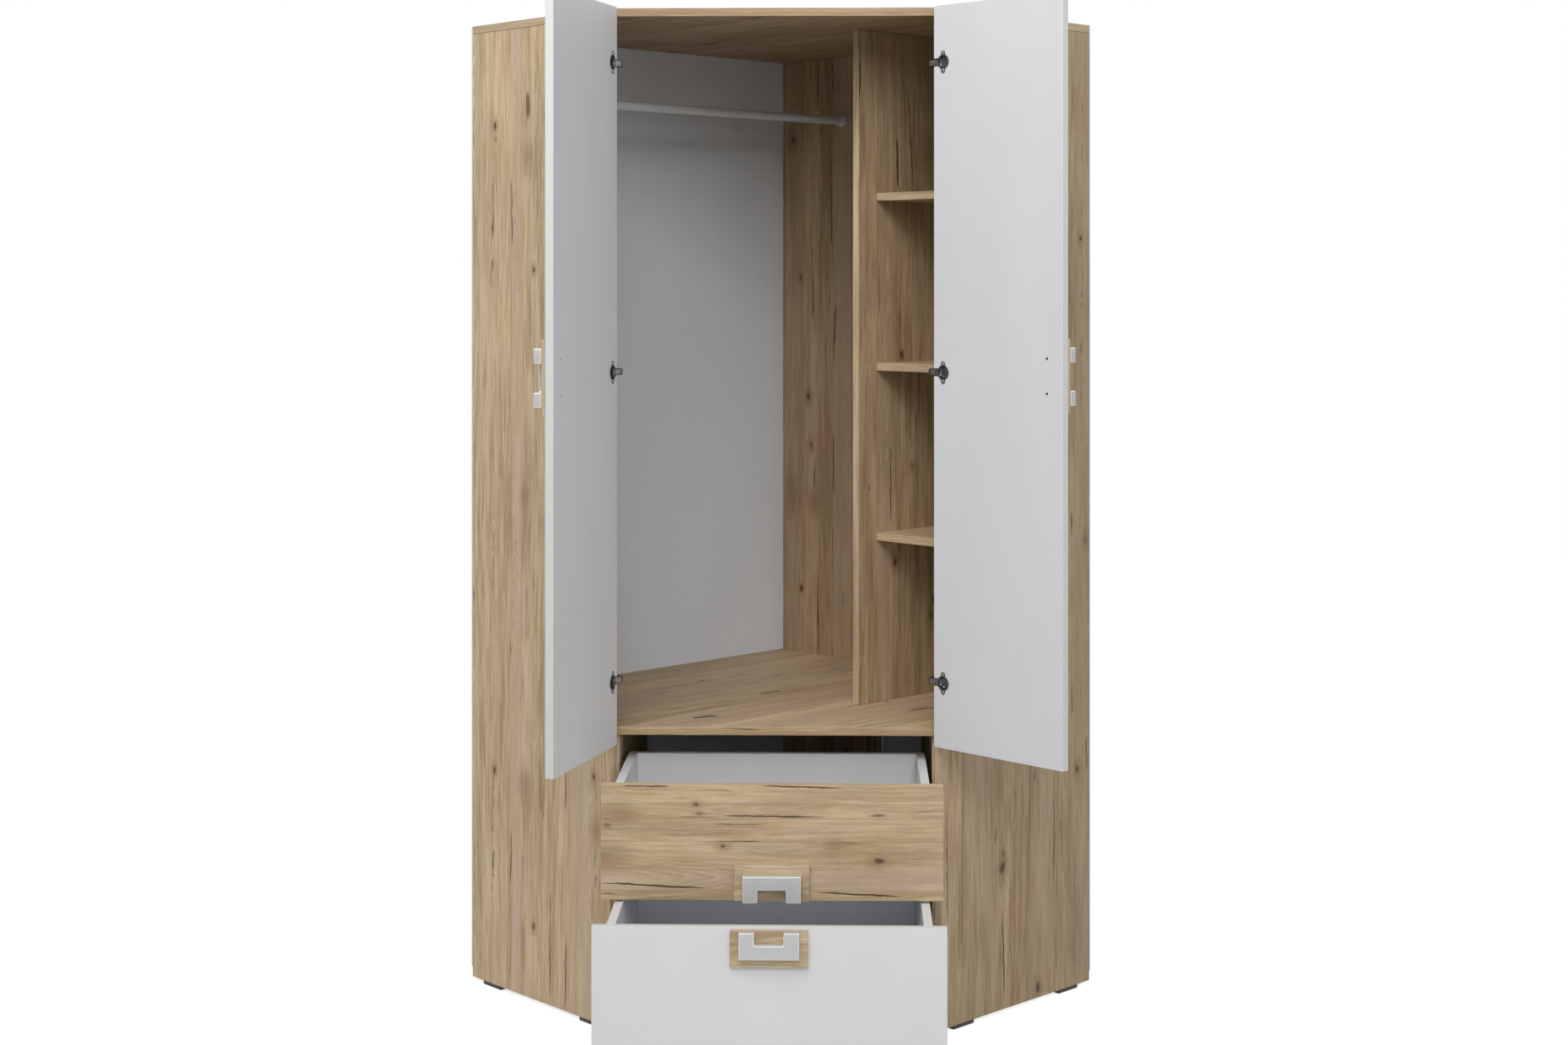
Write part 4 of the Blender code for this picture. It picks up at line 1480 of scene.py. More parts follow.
    def cross_board(
        self,
        node: str,
        corners: Corners,
        along: Array,
        finish: Oak,
        shift: Pair | None = None,
    ) -> None:
        """A level board with an outline in plan.

        Args:
            node: The CAD node that it stands for.
            corners: Its corners (u, w).
            along: World direction of its grain.
            finish: Its print.
            shift: Its place in the print, or None for the finish's own.
        """
        low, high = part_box(node)
        outline = round_corners(self.plan.points(corners), self.edge * CORNER)
        place = SQUARE.at((0.0, 0.0, low.z))
        rings = slab_rings(outline, high.z - low.z, self.edge)
        obj = Shape().loft(rings, place).build(node + "_board", FINISHES.of(finish))
        across = np.array([-along[1], along[0], 0.0])
        lay_grain(obj, Frame.of(place.origin, -across, along), shift or finish.shift)
        hand_in(obj, "carcass", Slot.OAK, node)

    def add(self) -> None:
        """Build the shell."""
        p = self.plan
        side = p.inner - GAP
        front = ROOT2 * p.apex - side - self.front_sum()
        between = [
            (front, side), (p.back, side), (p.back, p.rear_face + GAP),
            (p.strip_end + GAP, p.rear_face + GAP), (p.strip_end + GAP, p.back),
            (side, p.back), (side, front),
        ]
        over = [
            (p.depth, p.inner), (p.depth, p.wall), (p.back, p.wall), (p.back, p.back),
            (p.wall, p.back), (p.wall, p.depth), (p.inner, p.depth),
        ]
        left_wall = np.array([1.0, 1.0, 0.0]) / ROOT2
        right_wall = np.array([1.0, -1.0, 0.0]) / ROOT2
        self.cross_board("top_board", over, right_wall, self.TOP_OAK)
        self.cross_board("floor_board", between, left_wall, self.FLOOR_OAK)
        self.cross_board("bottom_board", between, left_wall, self.INNER_OAK, (7.7, 4.1))
        Board("left_side_panel", LEFT_WALL, self.LEFT_OAK).add()
        Board("right_side_panel", LEFT_WALL, self.RIGHT_OAK).add()
        Board("rear_wall_board", LEFT_WALL, self.REAR_OAK).add()
        Board("plinth_board", SQUARE, Oak(), shift=(1.9, 7.2)).add()

    def front_sum(self) -> float:
        """Offset of the cross boards' front edge, taken from the floor board's node."""
        return ROOT2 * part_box("floor_board")[0].y


@dataclass
class Backs:
    """The hardboard sheets behind, their nails, and the white strip that joins them.

    The nails stand in columns and rows from a first place to a last one, and keep their
    room from the strip.
    """

    plan: Plan
    nail_pitch: float = 0.150
    nail_radius: float = 0.0022
    nail_rise: float = 0.0004
    nail_seat: float = 0.0004
    nail_crown: float = 0.0003
    nail_room: float = 0.012
    column: Pair = (0.16, 1.90)
    row: Pair = (0.06, 0.86)
    rear_board_line: float = 0.03
    looks_back: float = 0.5

    def sheet(self, node: str, corners: Corners, finish: Finish, slot: Slot) -> None:
        """An upright sheet with an outline in plan.

        Args:
            node: The CAD node that it stands for.
            corners: Its corners (u, w).
            finish: Its finish.
            slot: Its material slot.
        """
        low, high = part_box(node)
        outline = anticlockwise(self.plan.points(corners))
        rings = lift(np.stack([outline, outline]), np.array([low.z, high.z]))
        obj = Shape().loft(rings).build(node + "_sheet", FINISHES.of(finish))
        mark_band(obj.data, read(obj.data.polygons, "normal")[:, 1] > self.looks_back)
        hand_in(obj, "carcass", slot, node)

    def add_nails(self) -> None:
        """Nail heads on the sheets' outer faces, as low domes (r cos t, rise sin t).

        They stand up the side panels' ends and the rear board, and along the top, floor
        and bottom boards.
        """
        p = self.plan
        column = np.arange(*self.column, self.nail_pitch)
        rows = np.arange(*self.row, self.nail_pitch)
        top, floor, bottom = (
            sum(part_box(node)[i].z for i in (0, 1)) / 2
            for node in ("top_board", "floor_board", "bottom_board")
        )
        upright = [(p.inner + p.board / 2, column), (p.back + self.rear_board_line, column)]
        level = [(rows, top), (rows, floor), (rows, bottom)]
        spots = [
            np.stack(np.broadcast_arrays(np.asarray(a, float), np.asarray(b, float)), axis=-1)
            for a, b in upright + level
        ]
        t = np.linspace(0.0, math.pi / 2, 4)
        dome = np.stack([self.nail_radius * np.cos(t), self.nail_rise * np.sin(t)], axis=1)
        dome[-1, 0] = self.nail_crown
        foot = [(self.nail_radius, -self.nail_seat)]
        rings = turned_rings(np.concatenate([foot, dome]), 8)
        for side, word in ((-1.0, "left"), (1.0, "right")):
            shape = Shape()
            # The right sheet's rows stop short of the strip
            for reach, z in np.concatenate(spots):
                if side > 0 and abs(reach - p.joint) < self.nail_room:
                    continue
                along = (0.0, reach) if side < 0 else (reach, 0.0)
                back = np.array([side, 1.0, 0.0]) / ROOT2
                turn = np.stack([np.cross(UP, back), UP, back], axis=1)
                shape.loft(rings, Frame(p.place(*along, z), turn))
            obj = shape.build(word + "_back_nails", FINISHES.of(SCREW))
            hand_in(obj, "carcass", Slot.NICKEL)

    def add(self) -> None:
        """Build the sheets and the strip."""
        self.add_nails()
        p = self.plan
        web = p.strip_web / 2
        fold = [
            (0.0, 0.0), (0.0, p.wall), (p.sheet, p.wall), (p.sheet, p.sheet),
            (p.joint - web - GAP, p.sheet), (p.joint - web - GAP, 0.0),
        ]
        strip = [
            (p.strip_start, p.back + p.strip_lip), (p.strip_end, p.back + p.strip_lip),
            (p.strip_end, p.back), (p.joint + web, p.back), (p.joint + web, 0.0),
            (p.joint - web, 0.0), (p.joint - web, p.back), (p.strip_start, p.back),
        ]
        plain = [
            (p.joint + web + GAP, 0.0), (p.wall, 0.0), (p.wall, p.sheet),
            (p.joint + web + GAP, p.sheet),
        ]
        self.sheet("left_back_panel", fold, HARDBOARD, Slot.HARDBOARD)
        self.sheet("right_back_panel", plain, HARDBOARD, Slot.HARDBOARD)
        self.sheet("back_joint_strip", strip, STRIP, Slot.PLASTIC)


@dataclass
class ShelfBay:
    """The divider and the three shelves beside it."""

    DIVIDER_OAK = Oak(
        "oak_divider",
        (6.4, 2.2),
        knots=each(
            Knot,
            (0.126, 0.703, 0.0065), (0.107, 0.279, 0.0060), (0.158, 0.473, 0.0038, 0.6),
            (0.204, 1.120, 0.0120, 0.10), (0.215, 0.160, 0.0050),
        ),
        cracks=each(
            Crack,
            (0.004, 1.220, 1.305, 0.0034), (0.114, 1.040, 1.156, 0.0052, -0.002),
            (0.153, 1.045, 1.257, 0.0030, -0.008), (0.166, 1.060, 1.200, 0.0022, -0.006, 0.8),
            (0.031, 0.395, 0.446, 0.0070, 0.0, 0.7, True), (0.094, 0.360, 0.522, 0.0030),
            (0.060, 0.780, 0.900, 0.0024, 0.001, 0.7),
            (0.180, 0.560, 0.760, 0.0024, 0.002, 0.8),
        ),
        staves=each(
            Stave,
            (0.055, 0.45, 0.30, 0.3), (0.100, 0.50, 0.75, 0.7), (0.178, 0.38, 0.14, 0.5),
            (0.262, 0.52, 0.45, 0.2), (0.330, 0.60, 0.60, 0.8), (0.400, 0.52, 0.30, 0.4),
        ),
        strewn=2.0,
        # Painted shade: the divider inside the carcass is made darker
        cast=(0.92, 0.88, 0.84),
    )

    def add(self) -> None:
        """Build the bay."""
        Board("divider_panel", LEFT_WALL, self.DIVIDER_OAK).add()
        for index, node in enumerate(("lower_shelf", "middle_shelf", "upper_shelf")):
            start = (1.3 + index, 0.7 * index)
            Board(node, LEFT_WALL, Carcass.INNER_OAK, along=Axis.X, shift=start).add()


@dataclass
class DrawerBay:
    """The two uprights that carry the drawers, and the battens screwed to them."""

    screw_radius: float = 0.0035
    screw_inset: float = 0.035
    screw_head: float = 0.0014
    screw_rise: float = 0.0002

    def add(self) -> None:
        """Build the bay."""
        for index, side in enumerate(("left", "right")):
            Board(f"{side}_bay_panel", SQUARE, Oak(), shift=(8.1 + index, 2.9)).add()
            for row in ("upper", "lower"):
                node = f"{row}_{side}_batten"
                Board(node, SQUARE, BEECH, Slot.BEECH, edge=0.0012).add()
                self.add_screws(node, 1.0 if side == "left" else -1.0)

    def add_screws(self, node: str, way: float) -> None:
        """Three screws in a batten's face, almost flush.

        Args:
            node: The batten.
            way: The side that the face looks to, along x.
        """
        low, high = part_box(node)
        face = high.x if way > 0 else low.x
        shape = Shape()
        for y in np.linspace(low.y + self.screw_inset, high.y - self.screw_inset, 3):
            x = face - way * (self.screw_head - self.screw_rise)
            place = Frame.of((x, y, (low.z + high.z) / 2), (0.0, 1.0, 0.0), (0.0, 0.0, way))
            shape.loft(screw_rings(self.screw_radius, self.screw_head), place)
        hand_in(shape.build(node + "_screws", FINISHES.of(SCREW)), "carcass", Slot.NICKEL)


@dataclass
class HangingRod:
    """The hanging tube and its two sockets."""

    radius: float = 0.0095
    wall: float = 0.0012
    collar: float = 0.0025
    flange: float = 0.0140
    base: float = 0.003
    depth: float = 0.012
    rim: float = 0.0003
    soft: float = 0.0008
    middle: float = 0.004

    def add(self) -> None:
        """Build the tube and the sockets."""
        low, high = node_box("hanging_rod", LEFT_WALL)
        middle = (low + high) / 2
        inner = self.radius - self.wall
        place = self.axis(np.array([middle[0], low[1], middle[2]]), 1.0)
        length, rim = high[1] - low[1], self.rim
        tube = [
            (inner, length / 2), (inner, 0.0), (self.radius - rim, 0.0), (self.radius, rim),
            (self.radius, length - rim), (self.radius - rim, length), (inner, length),
            (inner, length / 2 + rim),
        ]
        rod = Shape().loft(turned_rings(tube, 48), place)
        obj = rod.build("hanging_tube", FINISHES.of(STEEL))
        hand_in(obj, "carcass", Slot.STEEL, "hanging_rod")
        for node, way in (("rear_rod_socket", -1.0), ("left_rod_socket", 1.0)):
            self.socket(node, way)

    @staticmethod
    def axis(start: Array, way: float) -> Frame:
        """A frame whose z runs along the rod.

        Args:
            start: Its origin, in the wall's axes.
            way: 1 to run as the wall's y does, -1 to run back.

        Returns:
            The frame.
        """
        x = LEFT_WALL.turn[:, 2]
        z = LEFT_WALL.turn[:, 1] * way
        return Frame.of(LEFT_WALL.out(start), x, np.cross(z, x))

    def socket(self, node: str, way: float) -> None:
        """One socket: a flange with a soft rim, a collar and a blind bore.

        Args:
            node: The CAD node that it stands for.
            way: The way that it opens along the rod.
        """
        low, high = node_box(node, LEFT_WALL)
        middle = (low + high) / 2
        start = np.array([middle[0], low[1] if way > 0 else high[1], middle[2]])
        bore = self.radius + GAP
        outer, soft = bore + self.collar, self.soft
        profile = [
            (self.middle, 0.0), (self.flange - soft, 0.0), (self.flange, soft),
            (self.flange, self.base - soft), (self.flange - soft, self.base),
            (outer + soft, self.base), (outer, self.base + soft), (outer, self.depth - soft),
            (outer - soft, self.depth), (bore + soft / 2, self.depth),
            (bore, self.depth - soft / 2), (bore, self.base), (self.middle, self.base),
        ]
        shape = Shape().loft(turned_rings(profile, 40), self.axis(start, way))
        obj = shape.build(node + "_moulding", FINISHES.of(PLASTIC))
        hand_in(obj, "carcass", Slot.PLASTIC, node)


@dataclass
class Glides:
    """Black glides under the carcass, chamfered below in steps of inset and height."""

    STEPS = ((0.0022, 0.0), (0.0012, 0.0006), (0.0004, 0.0016), (0.0, 0.0030))
    NODES = ("left_front", "left_rear", "right_front", "right_rear", "rear_board")

    corner: float = 0.0025
    rim: float = 0.0004

    def add(self) -> None:
        """Build the five glides."""
        for word in self.NODES:
            node = word + "_glide"
            low, high = node_box(node, LEFT_WALL)
            size = high - low
            outline = rectangle(0.0, 0.0, size[0], size[1])
            outline = anticlockwise(round_corners(outline, self.corner, 4))
            ends = [(0.0, size[2] - self.rim), (self.rim, size[2])]
            draw, rise = np.array([*self.STEPS, *ends]).T
            shape = Shape().loft(lift(inset(outline, draw), rise), LEFT_WALL.at(tuple(low)))
            obj = shape.build(node + "_pad", FINISHES.of(BLACK))
            hand_in(obj, "carcass", Slot.BLACK, node)


def screw_rings(radius: float, rise: float, sides: int = 32) -> Array:
    """A pan head with a cross recess, its seat at z = 0.

    The head is a dome; a ring of its top goes over to the outline of a cross, at each
    angle the further of two bars' edges, and then down to the recess's floor.

    Args:
        radius: Radius of the head.
        rise: Height of its crown.
        sides: Points round it.

    Returns:
        Points, rings by sides by 3.
    """
    t = angles(sides, math.pi / sides)
    c, s = np.abs(np.cos(t)), np.abs(np.sin(t))
    bar, reach = radius * 0.13, radius * 0.58
    cross = np.maximum(np.minimum(reach / c, bar / s), np.minimum(reach / s, bar / c))
    profile = [
        (radius, 0.0), (radius, rise * 0.45), (radius * 0.93, rise * 0.75),
        (radius * 0.78, rise * 0.95), (radius * 0.66, rise), (cross, rise),
        (cross * 0.8, rise * 0.25),
    ]
    return polar_rings(t, profile)


@dataclass
class Handle:
    """An oak plate with a C-shaped grip, open towards one edge of the front."""

    prefix: str
    body: str
    axes: Frame
    opens: Place
    notch: Pair = (0.052, 0.0235)
    plate_edge: float = 0.0012
    plate_corner: float = 0.0025
    grip_edge: float = 0.0010
    grip_corner: float = 0.0018
    trim: float = 0.0030
    draw: float = 0.0

    OAK_PLATE = Oak(
        "oak_plate",
        width=0.021,
        strewn=2.0,
        light=(0.572, 0.478, 0.320),
        middle=(0.458, 0.364, 0.232),
        dark=(0.316, 0.235, 0.138),
    )

    def frame(self, node: str) -> tuple[Frame, Array]:
        """Axes on a handle piece: x towards its opening, y along it, z outwards.

        Args:
            node: The CAD node that the piece stands for.

        Returns:
            The frame, at the middle of the piece's open edge and on its rear face, and its
            depth, length and thickness.
        """
        low, high = node_box(node, self.axes)
        opens = np.array(self.opens)
        outwards = np.array([0.0, -1.0, 0.0])
        length = np.cross(outwards, opens)
        middle, size = (low + high) / 2, high - low
        start = middle + opens * (np.abs(opens) @ size) / 2 - outwards * size[1] / 2
        place = Frame.of(self.axes.out(start), self.axes.turn @ opens, self.axes.turn @ length)
        return place, np.array([np.abs(opens) @ size, np.abs(length) @ size, size[1]])

    def add(self) -> None:
        """Build the plate and the grip."""
        node = self.prefix + "_handle_plate"
        place, (depth, length, thickness) = self.frame(node)
        outline = rectangle(-depth, -length / 2, 0.0, length / 2)
        outline = round_corners(outline, self.plate_corner, 4)
        rings = slab_rings(outline, thickness, self.plate_edge)
        look = FINISHES.of(self.OAK_PLATE)
        plate = Shape().loft(rings, place).build(self.prefix + "_plate_board", look)
        grain = place
        if self.opens[2] == 0.0:
            grain = Frame.of(place.origin, place.turn[:, 0], place.turn[:, 1])
        lay_grain(plate, grain, (0.7, 0.9 + abs(self.opens[0])))
        hand_in(plate, self.body, Slot.OAK, node)

        node = self.prefix + "_grip"
        place, (depth, length, thickness) = self.frame(node)
        half, gap = length / 2, self.notch[0] / 2
        tip, heel = -self.draw, -depth + self.trim
        outline = mirrored((heel, -half), (tip, -half), (tip, -gap), (-self.notch[1], -gap))
        outline = round_corners(outline, self.grip_corner, 4)
        rings = slab_rings(outline, thickness, self.grip_edge, 4)
        grip = Shape().loft(rings, place).build(self.prefix + "_grip_bar", FINISHES.of(SATIN))
        # Marks the grip's rounded edges, which the satin finish paints lighter as a painted
        # highlight
        mark_edges(grip, place)
        hand_in(grip, self.body, Slot.SATIN, node)


@dataclass
class HandleScrews:
    """The two screws behind a handle, sunk in bores of the front's inner face."""

    prefix: str
    body: str
    axes: Frame
    opens: Place
    depth: float
    spacing: float = 0.064
    inset: float = 0.03725
    radius: float = 0.0031
    head: float = 0.0028
    sunk: float = 0.0025
    crown: float = 0.0016
    bore: Pair = (-0.006, 0.004)

    def places(self) -> list[Frame]:
        """Where the screws are.

        Returns:
            Frames on the inner face, one for each screw, z out of that face.
        """
        handle = Handle(self.prefix, self.body, self.axes, self.opens)
        place, _ = handle.frame(self.prefix + "_grip")
        plate, _ = handle.frame(self.prefix + "_handle_plate")
        lift = plate.into(place.origin)[2]
        made = []
        for side in (-0.5, 0.5):
            spot = (-self.inset, side * self.spacing, -lift - GAP - self.depth)
            here = place.at(spot)
            made.append(Frame.of(here.origin, here.turn[:, 0], -here.turn[:, 1]))
        return made

    def cut_and_fill(self, front: Object) -> None:
        """Bore the front and put the screws in.

        Args:
            front: The door or drawer front.
        """
        tool, screws = Shape(), Shape()
        for place in self.places():
            tool.loft(turned_rings([(self.radius, z) for z in self.bore], 24), place)
            drop = np.array([0.0, 0.0, self.sunk + self.crown])
            screws.loft(screw_rings(self.head, self.crown) - drop, place)
        cut(front, tool.build("bore_tool"))
        # The heads are painted near black as painted shade in their bores
        obj = screws.build(self.prefix + "_handle_screws", FINISHES.of(SCREW_PAINTED_SHADE))
        hand_in(obj, self.body, Slot.NICKEL)


@dataclass
class Hinge:
    """A concealed hinge: cranked arm on the side panel and cup in the door."""

    prefix: str
    side: float
    pivot: Array
    axes: Frame
    body: str
    cup_radius: float = 0.013
    cup_centre: float = 0.0205
    cup_depth: float = 0.010
    face: float = 0.0068
    wing: float = 0.0012
    ear: float = 0.0165
    ear_radius: float = 0.0050
    arm_height: float = 0.0122
    arm_thickness: float = 0.0036
    standoff: float = 0.0036
    bend: float = 0.0030
    knuckle: float = 0.004
    lug: float = 0.0015
    play: float = 0.0005
    notch: float = 0.0105
    tail: Pair = (0.052, 0.0575)
    plate: float = 0.0015
    cup_rim: float = 0.0012
    lip: float = 0.0112

    def add(self) -> None:
        """Build both halves."""
        self.add_arm()
        self.add_cup()

    def add_arm(self) -> None:
        """The fixed half: knuckle, cranked arm, mounting plate and screws."""
        node = self.prefix + "_arm"
        word = "left" if self.side < 0 else "right"
        wall = Frame.about_z(self.side * 45.0)
        inwards, rearwards = wall.turn[:, 1], wall.turn[:, 0] * self.side
        face = node_box(word + "_side_panel", wall)[1][1] + GAP
        seat = wall.out(np.array([0.0, face, 0.0]))
        start = (seat - self.pivot) @ inwards
        # x inwards from the panel's inner face, y rearwards from the pivot, z up
        axes = Frame(self.pivot + inwards * start, np.stack([inwards, rearwards, UP], axis=1))
        knee = self.standoff + self.arm_thickness / 2
        t = np.linspace(0.0, math.pi / 2, 7)
        # A quarter circle that leads from the pivot into the straight arm
        out = knee - self.bend + self.bend * np.sin(t)
        curve = np.stack([out, self.bend * (1 - np.cos(t)), np.zeros(7)], axis=1)
        tip = np.array([[-start - 0.0005, 0.0, 0.0]])
        tail = np.array([[knee, y, 0.0] for y in self.tail])
        half, tall = self.arm_thickness / 2, self.arm_height / 2
        section = round_corners(rectangle(-half, -tall, half, tall), 0.0012)
        # Plain nickel up to half of the bend, and nickel painted dark from there on as painted
        # shade
        start_rings = swept_rings(np.concatenate([tip, curve[:4]]), section, UP)
        end_rings = swept_rings(np.concatenate([curve[3:], tail]), section, UP)
        shape = Shape().loft(start_rings, axes).loft(end_rings, axes, 2)
        ends, soft = tall + 0.0002, 0.0006
        barrel = mirrored((self.knuckle - soft, -ends), (self.knuckle, -ends + soft))
        shape.loft(turned_rings(barrel, 24), axes.at((-start, 0.0, 0.0)))
        self.add_plate(shape, axes, knee)
        looks = [FINISHES.of(finish) for finish in (NICKEL, SCREW, NICKEL_PAINTED_SHADE)]
        obj = shape.build(node + "_metal", *looks)
        # Marks the rounded edges; on the nickel they are painted darker as painted shade
        mark_edges(obj, axes)
        hand_in(obj, "carcass", Slot.NICKEL, node)

    def add_plate(self, shape: Shape, axes: Frame, knee: float) -> None:
        """The cross-shaped mounting plate, its screws and the arm's adjusters.

        Args:
            shape: The arm's shape, which they join.
            axes: The arm's axes: x inwards from the panel, y rearwards, z up.
            knee: How far the arm's middle stands off the panel.
        """
        body, ear, reach = 0.0055, 0.0050, 0.020
        rear, front, middle = 0.0620, 0.0200, 0.042
        outline = mirrored(
            (front, -body), (middle - ear, -body), (middle - ear, -reach),
            (middle + ear, -reach), (middle + ear, -body), (rear, -body),
        )
        flat = Frame(axes.origin, axes.turn[:, [1, 2, 0]])
        shape.loft(slab_rings(round_corners(outline, 0.0016), self.plate, 0.0004, 2), flat)
        # The seat under the arm
        tall = self.arm_height / 2 - 0.001
        seat = round_corners(rectangle(0.0235, -tall, 0.0555, tall), 0.001)
        shape.loft(slab_rings(seat, self.standoff + 0.0003, 0.0004, 2), flat)
        for z in (-0.0155, 0.0155):
            shape.loft(screw_rings(0.0036, 0.0016), flat.at((middle, z, self.plate)), 1)
        # A wider saddle under the arm, and the catch at its tail in nickel painted dark as
        # painted shade
        tall = self.arm_height * 1.2 / 2
        below = flat.at((0.0, 0.0, self.standoff - 0.0012))
        for start, end, corner, thickness, edge, look in (
            (0.0140, 0.0540, 0.0015, 0.0022, 0.0004, 0),
            (0.0510, 0.0575, 0.0012, 0.0038, 0.0005, 2),
        ):
            outline = round_corners(rectangle(start, -tall, end, tall), corner)
            shape.loft(slab_rings(outline, thickness, edge, 2), below, look)
        top = knee + self.arm_thickness / 2
        for y in (0.026, 0.044):
            shape.loft(screw_rings(0.0028, 0.0011), flat.at((y, 0.0, top)), 1)

    def add_cup(self) -> None:
        """The moving half: dish with two ears, lugs, pin and screws."""
        node = self.prefix + "_cup"
        s = -self.side
        x, h = self.axes.turn[:, 0] * s, self.axes.turn[:, 1]
        face = self.pivot + x * self.cup_centre + h * self.face
        # x along the door from the cup's centre, z out of its inner face
        along = np.cross(h, x)
        dish = Frame(face, np.stack([x, along, h], axis=1))
        # The rim's radius is the further of the dish's and of two circles on the ears
        t = angles(72)
        rim = self.cup_radius + self.cup_rim
        offset = self.ear * np.cos(t - math.pi / 2)
        room = self.ear_radius**2 - (self.ear * np.sin(t - math.pi / 2)) ** 2
        ears = np.abs(offset) + np.sqrt(np.clip(room, 0.0, None))
        edge = np.where(room > 0, np.maximum(rim, ears), rim)
        lip, soft, floor = self.lip, 0.0004, -self.cup_depth
        profile = [
            (0.003, floor - 0.0003), (self.cup_radius - 0.001, floor - 0.0003),
            (self.cup_radius, floor + 0.0007), (self.cup_radius, 0.0), (edge - soft, 0.0),
            (edge, soft), (edge, self.wing - soft), (edge - soft, self.wing),
            (lip + 0.0012, self.wing), (lip + 0.0004, self.wing - 0.0003),
            (lip, self.wing - 0.0012), (lip - 0.0004, floor + 0.003),
            (lip - 0.002, floor + 0.0012), (0.004, floor + 0.0010),
        ]
        shape = Shape().loft(polar_rings(t, profile), dish)
        # The dish is nickel painted dark as painted shade
        obj = shape.build(node + "_metal", FINISHES.of(NICKEL_PAINTED_SHADE), FINISHES.of(SCREW))
        hinge = Frame(self.pivot, np.stack([x, along, h], axis=1))
        inner = self.arm_height / 2 + self.play
        self.cut_room(obj, hinge, inner)
        extra = Shape()
        outline = round_corners(rectangle(-0.003, -0.003, 0.013, 0.0035), 0.0012)
        edgewise = Frame(hinge.origin, np.stack([x, h, -along], axis=1))
        for low in (-inner - self.lug, inner):
            extra.loft(slab_rings(outline, self.lug, 0.0003, 2), edgewise.at((0, 0, low)))
        end = inner + self.lug + 0.0004
        extra.loft(turned_rings([(0.0015, -end), (0.0015, end)], 16), edgewise)
        for place in (-self.ear, self.ear):
            extra.loft(screw_rings(0.0031, 0.0014), dish.at((0.0, place, self.wing)), 1)
        # The lugs and pin are nickel painted dark as painted shade too
        details = extra.build(node + "_details", FINISHES.of(NICKEL_PAINTED_SHADE), FINISHES.of(SCREW))
        hand_in(obj, self.body, Slot.NICKEL, node)
        hand_in(details, self.body, Slot.NICKEL)

    def cut_room(self, obj: Object, hinge: Frame, inner: float) -> None:
        """Open the dish on the side where the arm comes in.

        Args:
            obj: The dish.
            hinge: Axes at the pivot: x along the door, z out of its inner face.
            inner: Half the room between the lugs.
        """
        tool = Shape()
        outline = round_corners(rectangle(-0.02, -inner, self.notch + 0.004, inner), 0.001)
        tool.loft(slab_rings(outline, 0.02, 0.0003, 2), hinge.at((0.0, 0.0, -0.0022)))
        cut(obj, tool.build("room_tool"))


@dataclass
class Door:
    """One door with its hinges, handle and handle screws."""

    side: float
    angle: float
    board: float = 0.016
    notch: float = 0.0105
    notch_depth: float = 0.005
    notch_half: float = 0.0078
    cup_radius: float = 0.0133
    cup_centre: float = 0.0205
    cup_floor: float = -0.0038

    def add(self) -> None:
        """Build the door."""
        word = "left" if self.side < 0 else "right"
        body = word + "_door"
        axes = Frame.about_z(self.side * self.angle)
        joint = next(j for j in frame["joints"] if j["child"] == body)
        pivot = np.array(joint["pos_m"], float)
        panel = Board(body, axes, WHITE, Slot.WHITE, body)
        obj = panel.build()
        tool = Shape()
        for level in ("lower", "middle", "upper"):
            node = f"{body}_{level}_hinge"
            low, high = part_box(node + "_cup")
            spot = np.array([pivot[0], pivot[1], (low.z + high.z) / 2])
            hinge = Hinge(node, self.side, spot, axes, body)
            hinge.add()
            x, h = axes.turn[:, 0] * -self.side, axes.turn[:, 1]
            place = Frame(spot, np.stack([x, np.cross(h, x), h], axis=1))
            bore = [(self.cup_radius, self.cup_floor), (self.cup_radius, 0.02)]
            tool.loft(turned_rings(bore, 48), place.at((self.cup_centre, 0, 0)))
            outline = rectangle(-0.02, -self.notch_half, self.notch, self.notch_half)
            rings = slab_rings(round_corners(outline, 0.002, 4), 0.03, 0.0002, 1)
            cut(obj, Shape().loft(rings, place.at((0, 0, -self.notch_depth))).build("notch_tool"))
        cut(obj, tool.build("cup_tool"))
        opens = (-self.side, 0.0, 0.0)
        HandleScrews(body, body, axes, opens, self.board).cut_and_fill(obj)
        panel.dress(obj)
        Handle(body, body, axes, opens).add()


